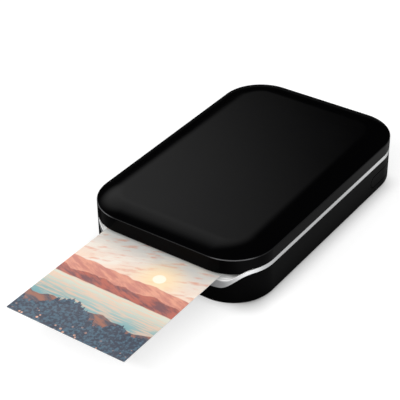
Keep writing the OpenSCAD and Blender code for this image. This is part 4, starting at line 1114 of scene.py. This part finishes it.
def pale_floor():
    """White floor that keeps soft shadows. A glow lifts it to white, and a painted shadow dims that glow under
    the body and just round it.
    Reflections see it at levels of their own, one for each side of the object."""
    bpy.ops.mesh.primitive_plane_add(size=FLOOR_SIZE, location=(0, 0, 0))
    floor = bpy.context.object
    floor.name = "floor"
    material, kit = new_material("floor_white")
    direct, mirrored_rays = ray_kinds(kit)
    x, y, z = kit.axes()

    def inside(value, low, high):
        return kit.ramp(value, low, low + CONTACT_SOFT) * kit.ramp(value, high - CONTACT_SOFT, high, 1.0, 0.0)

    # Painted contact shadow: the floor's glow is dimmed under the body, fading out just past its right side and
    # front
    under = inside(x, -side_x, side_x + 7 * MM) * inside(y, front_y - 3 * MM, back_y - 5 * MM)
    to_front = kit.ramp(y, front_y, front_y + 6 * MM, 0.27, 0.03)
    to_right = kit.ramp(x, 26 * MM, 50 * MM, 0.0, 0.65)
    to_corner = kit.ramp(x, 40 * MM, 52 * MM) * kit.ramp(y, -54 * MM, -36 * MM, 0.6, 0.0)
    to_back = kit.ramp(x, 40 * MM, 52 * MM) * kit.ramp(y, 20 * MM, 70 * MM, 0.0, 0.35)
    mirror = to_front + to_right + to_corner + to_back
    glow = (direct + mirrored_rays * mirror) * FLOOR_LIFT * (1 - 0.95 * under)
    lift = kit.node("ShaderNodeEmission", {}, {"Color": (1, 1, 1, 1), "Strength": glow})
    tone = FLOOR_TONE * (1 - mirrored_rays * (1 - mirror))
    matt = kit.node("ShaderNodeBsdfDiffuse", {}, {"Color": kit.vector(tone, tone, tone)})
    both = kit.node("ShaderNodeAddShader", {}, {0: matt, 1: lift})
    kit.node("ShaderNodeOutputMaterial", {}, {0: both})
    floor.data.materials.append(material)


def heading(direction):
    """Unit vector to a direction."""
    azimuth, elevation = (math.radians(angle) for angle in direction)
    return Vector((
        math.sin(azimuth) * math.cos(elevation), -math.cos(azimuth) * math.cos(elevation), math.sin(elevation)
    ))


def softbox(name, direction, distance, width, height, radiance):
    """Flat lamp that faces the object."""
    out = heading(direction)
    lamp = bpy.data.lights.new(name, "AREA")
    lamp.shape = "RECTANGLE"
    lamp.size = width
    lamp.size_y = height
    lamp.energy = radiance * math.pi * width * height
    holder = bpy.data.objects.new(name, lamp)
    bpy.context.scene.collection.objects.link(holder)
    holder.location = out * distance
    holder.rotation_mode = "QUATERNION"
    holder.rotation_quaternion = out.to_track_quat("Z", "Y")


def studio():
    """White background. Reflections see walls that darken upwards and to the left, and a glow at the back left.
    A strip lamp hangs over the front and a square one over the front left."""
    world = bpy.data.worlds.new("studio")
    bpy.context.scene.world = world
    kit = Kit(world)
    direct, mirrored_rays = ray_kinds(kit)
    x, y, z = kit.axes()
    wall = kit.ramp(z, 0.02, 0.14, 1.0, 0.02) * kit.ramp(x, -0.3, 0.3, 0.1, 1.0)
    off_glow = kit.node("ShaderNodeMath", dict(operation="ARCCOSINE"), {0: kit.dot(heading(GLOW_PLACE))})
    glow = kit.ramp(off_glow, math.radians(GLOW_REACH[0]), math.radians(GLOW_REACH[1]), GLOW_LEVEL, 0.0)
    fill = FILL_LEVEL + FILL_SLANT * kit.dot(heading(FILL_PLACE))
    level = direct + mirrored_rays * (wall + glow) + (1 - direct - mirrored_rays) * fill
    sky = kit.node("ShaderNodeBackground", {}, {"Color": (1, 1, 1, 1), "Strength": level})
    kit.node("ShaderNodeOutputWorld", {}, {0: sky})
    softbox("front_strip", (0, 41), 1.0, 1.3, 0.12, 9.0)
    softbox("side_box", (318, 46), 1.1, 0.28, 0.28, 5.0)


def camera():
    """Seen from the front right, above."""
    azimuth, roll = math.radians(CAMERA_SIDE[0]), math.radians(CAMERA_ROLL)
    back = heading(CAMERA_SIDE)
    right = Vector((math.cos(azimuth), math.sin(azimuth), 0))
    up = back.cross(right)
    right, up = (
        math.cos(roll) * right + math.sin(roll) * up, -math.sin(roll) * right + math.cos(roll) * up
    )
    lens = bpy.data.cameras.new("camera")
    lens.sensor_width = 36.0
    lens.lens = CAMERA_LENS
    holder = bpy.data.objects.new("camera", lens)
    bpy.context.scene.collection.objects.link(holder)
    holder.matrix_world = Matrix.Translation(CAMERA_PLACE) @ Matrix((right, up, back)).transposed().to_4x4()
    bpy.context.scene.camera = holder


dress_nodes()
top_cover()
base_shell()
trim_band()
power_button()
printed_photo()
spring_pair("head_springs", "body", wire=0.18 * MM, turns=4)
spring_pair("plate_springs", "cover", wire=0.2 * MM, turns=5)
head_ribbon()
pale_floor()
studio()
camera()

bpy.context.scene.view_settings.view_transform = "Standard"
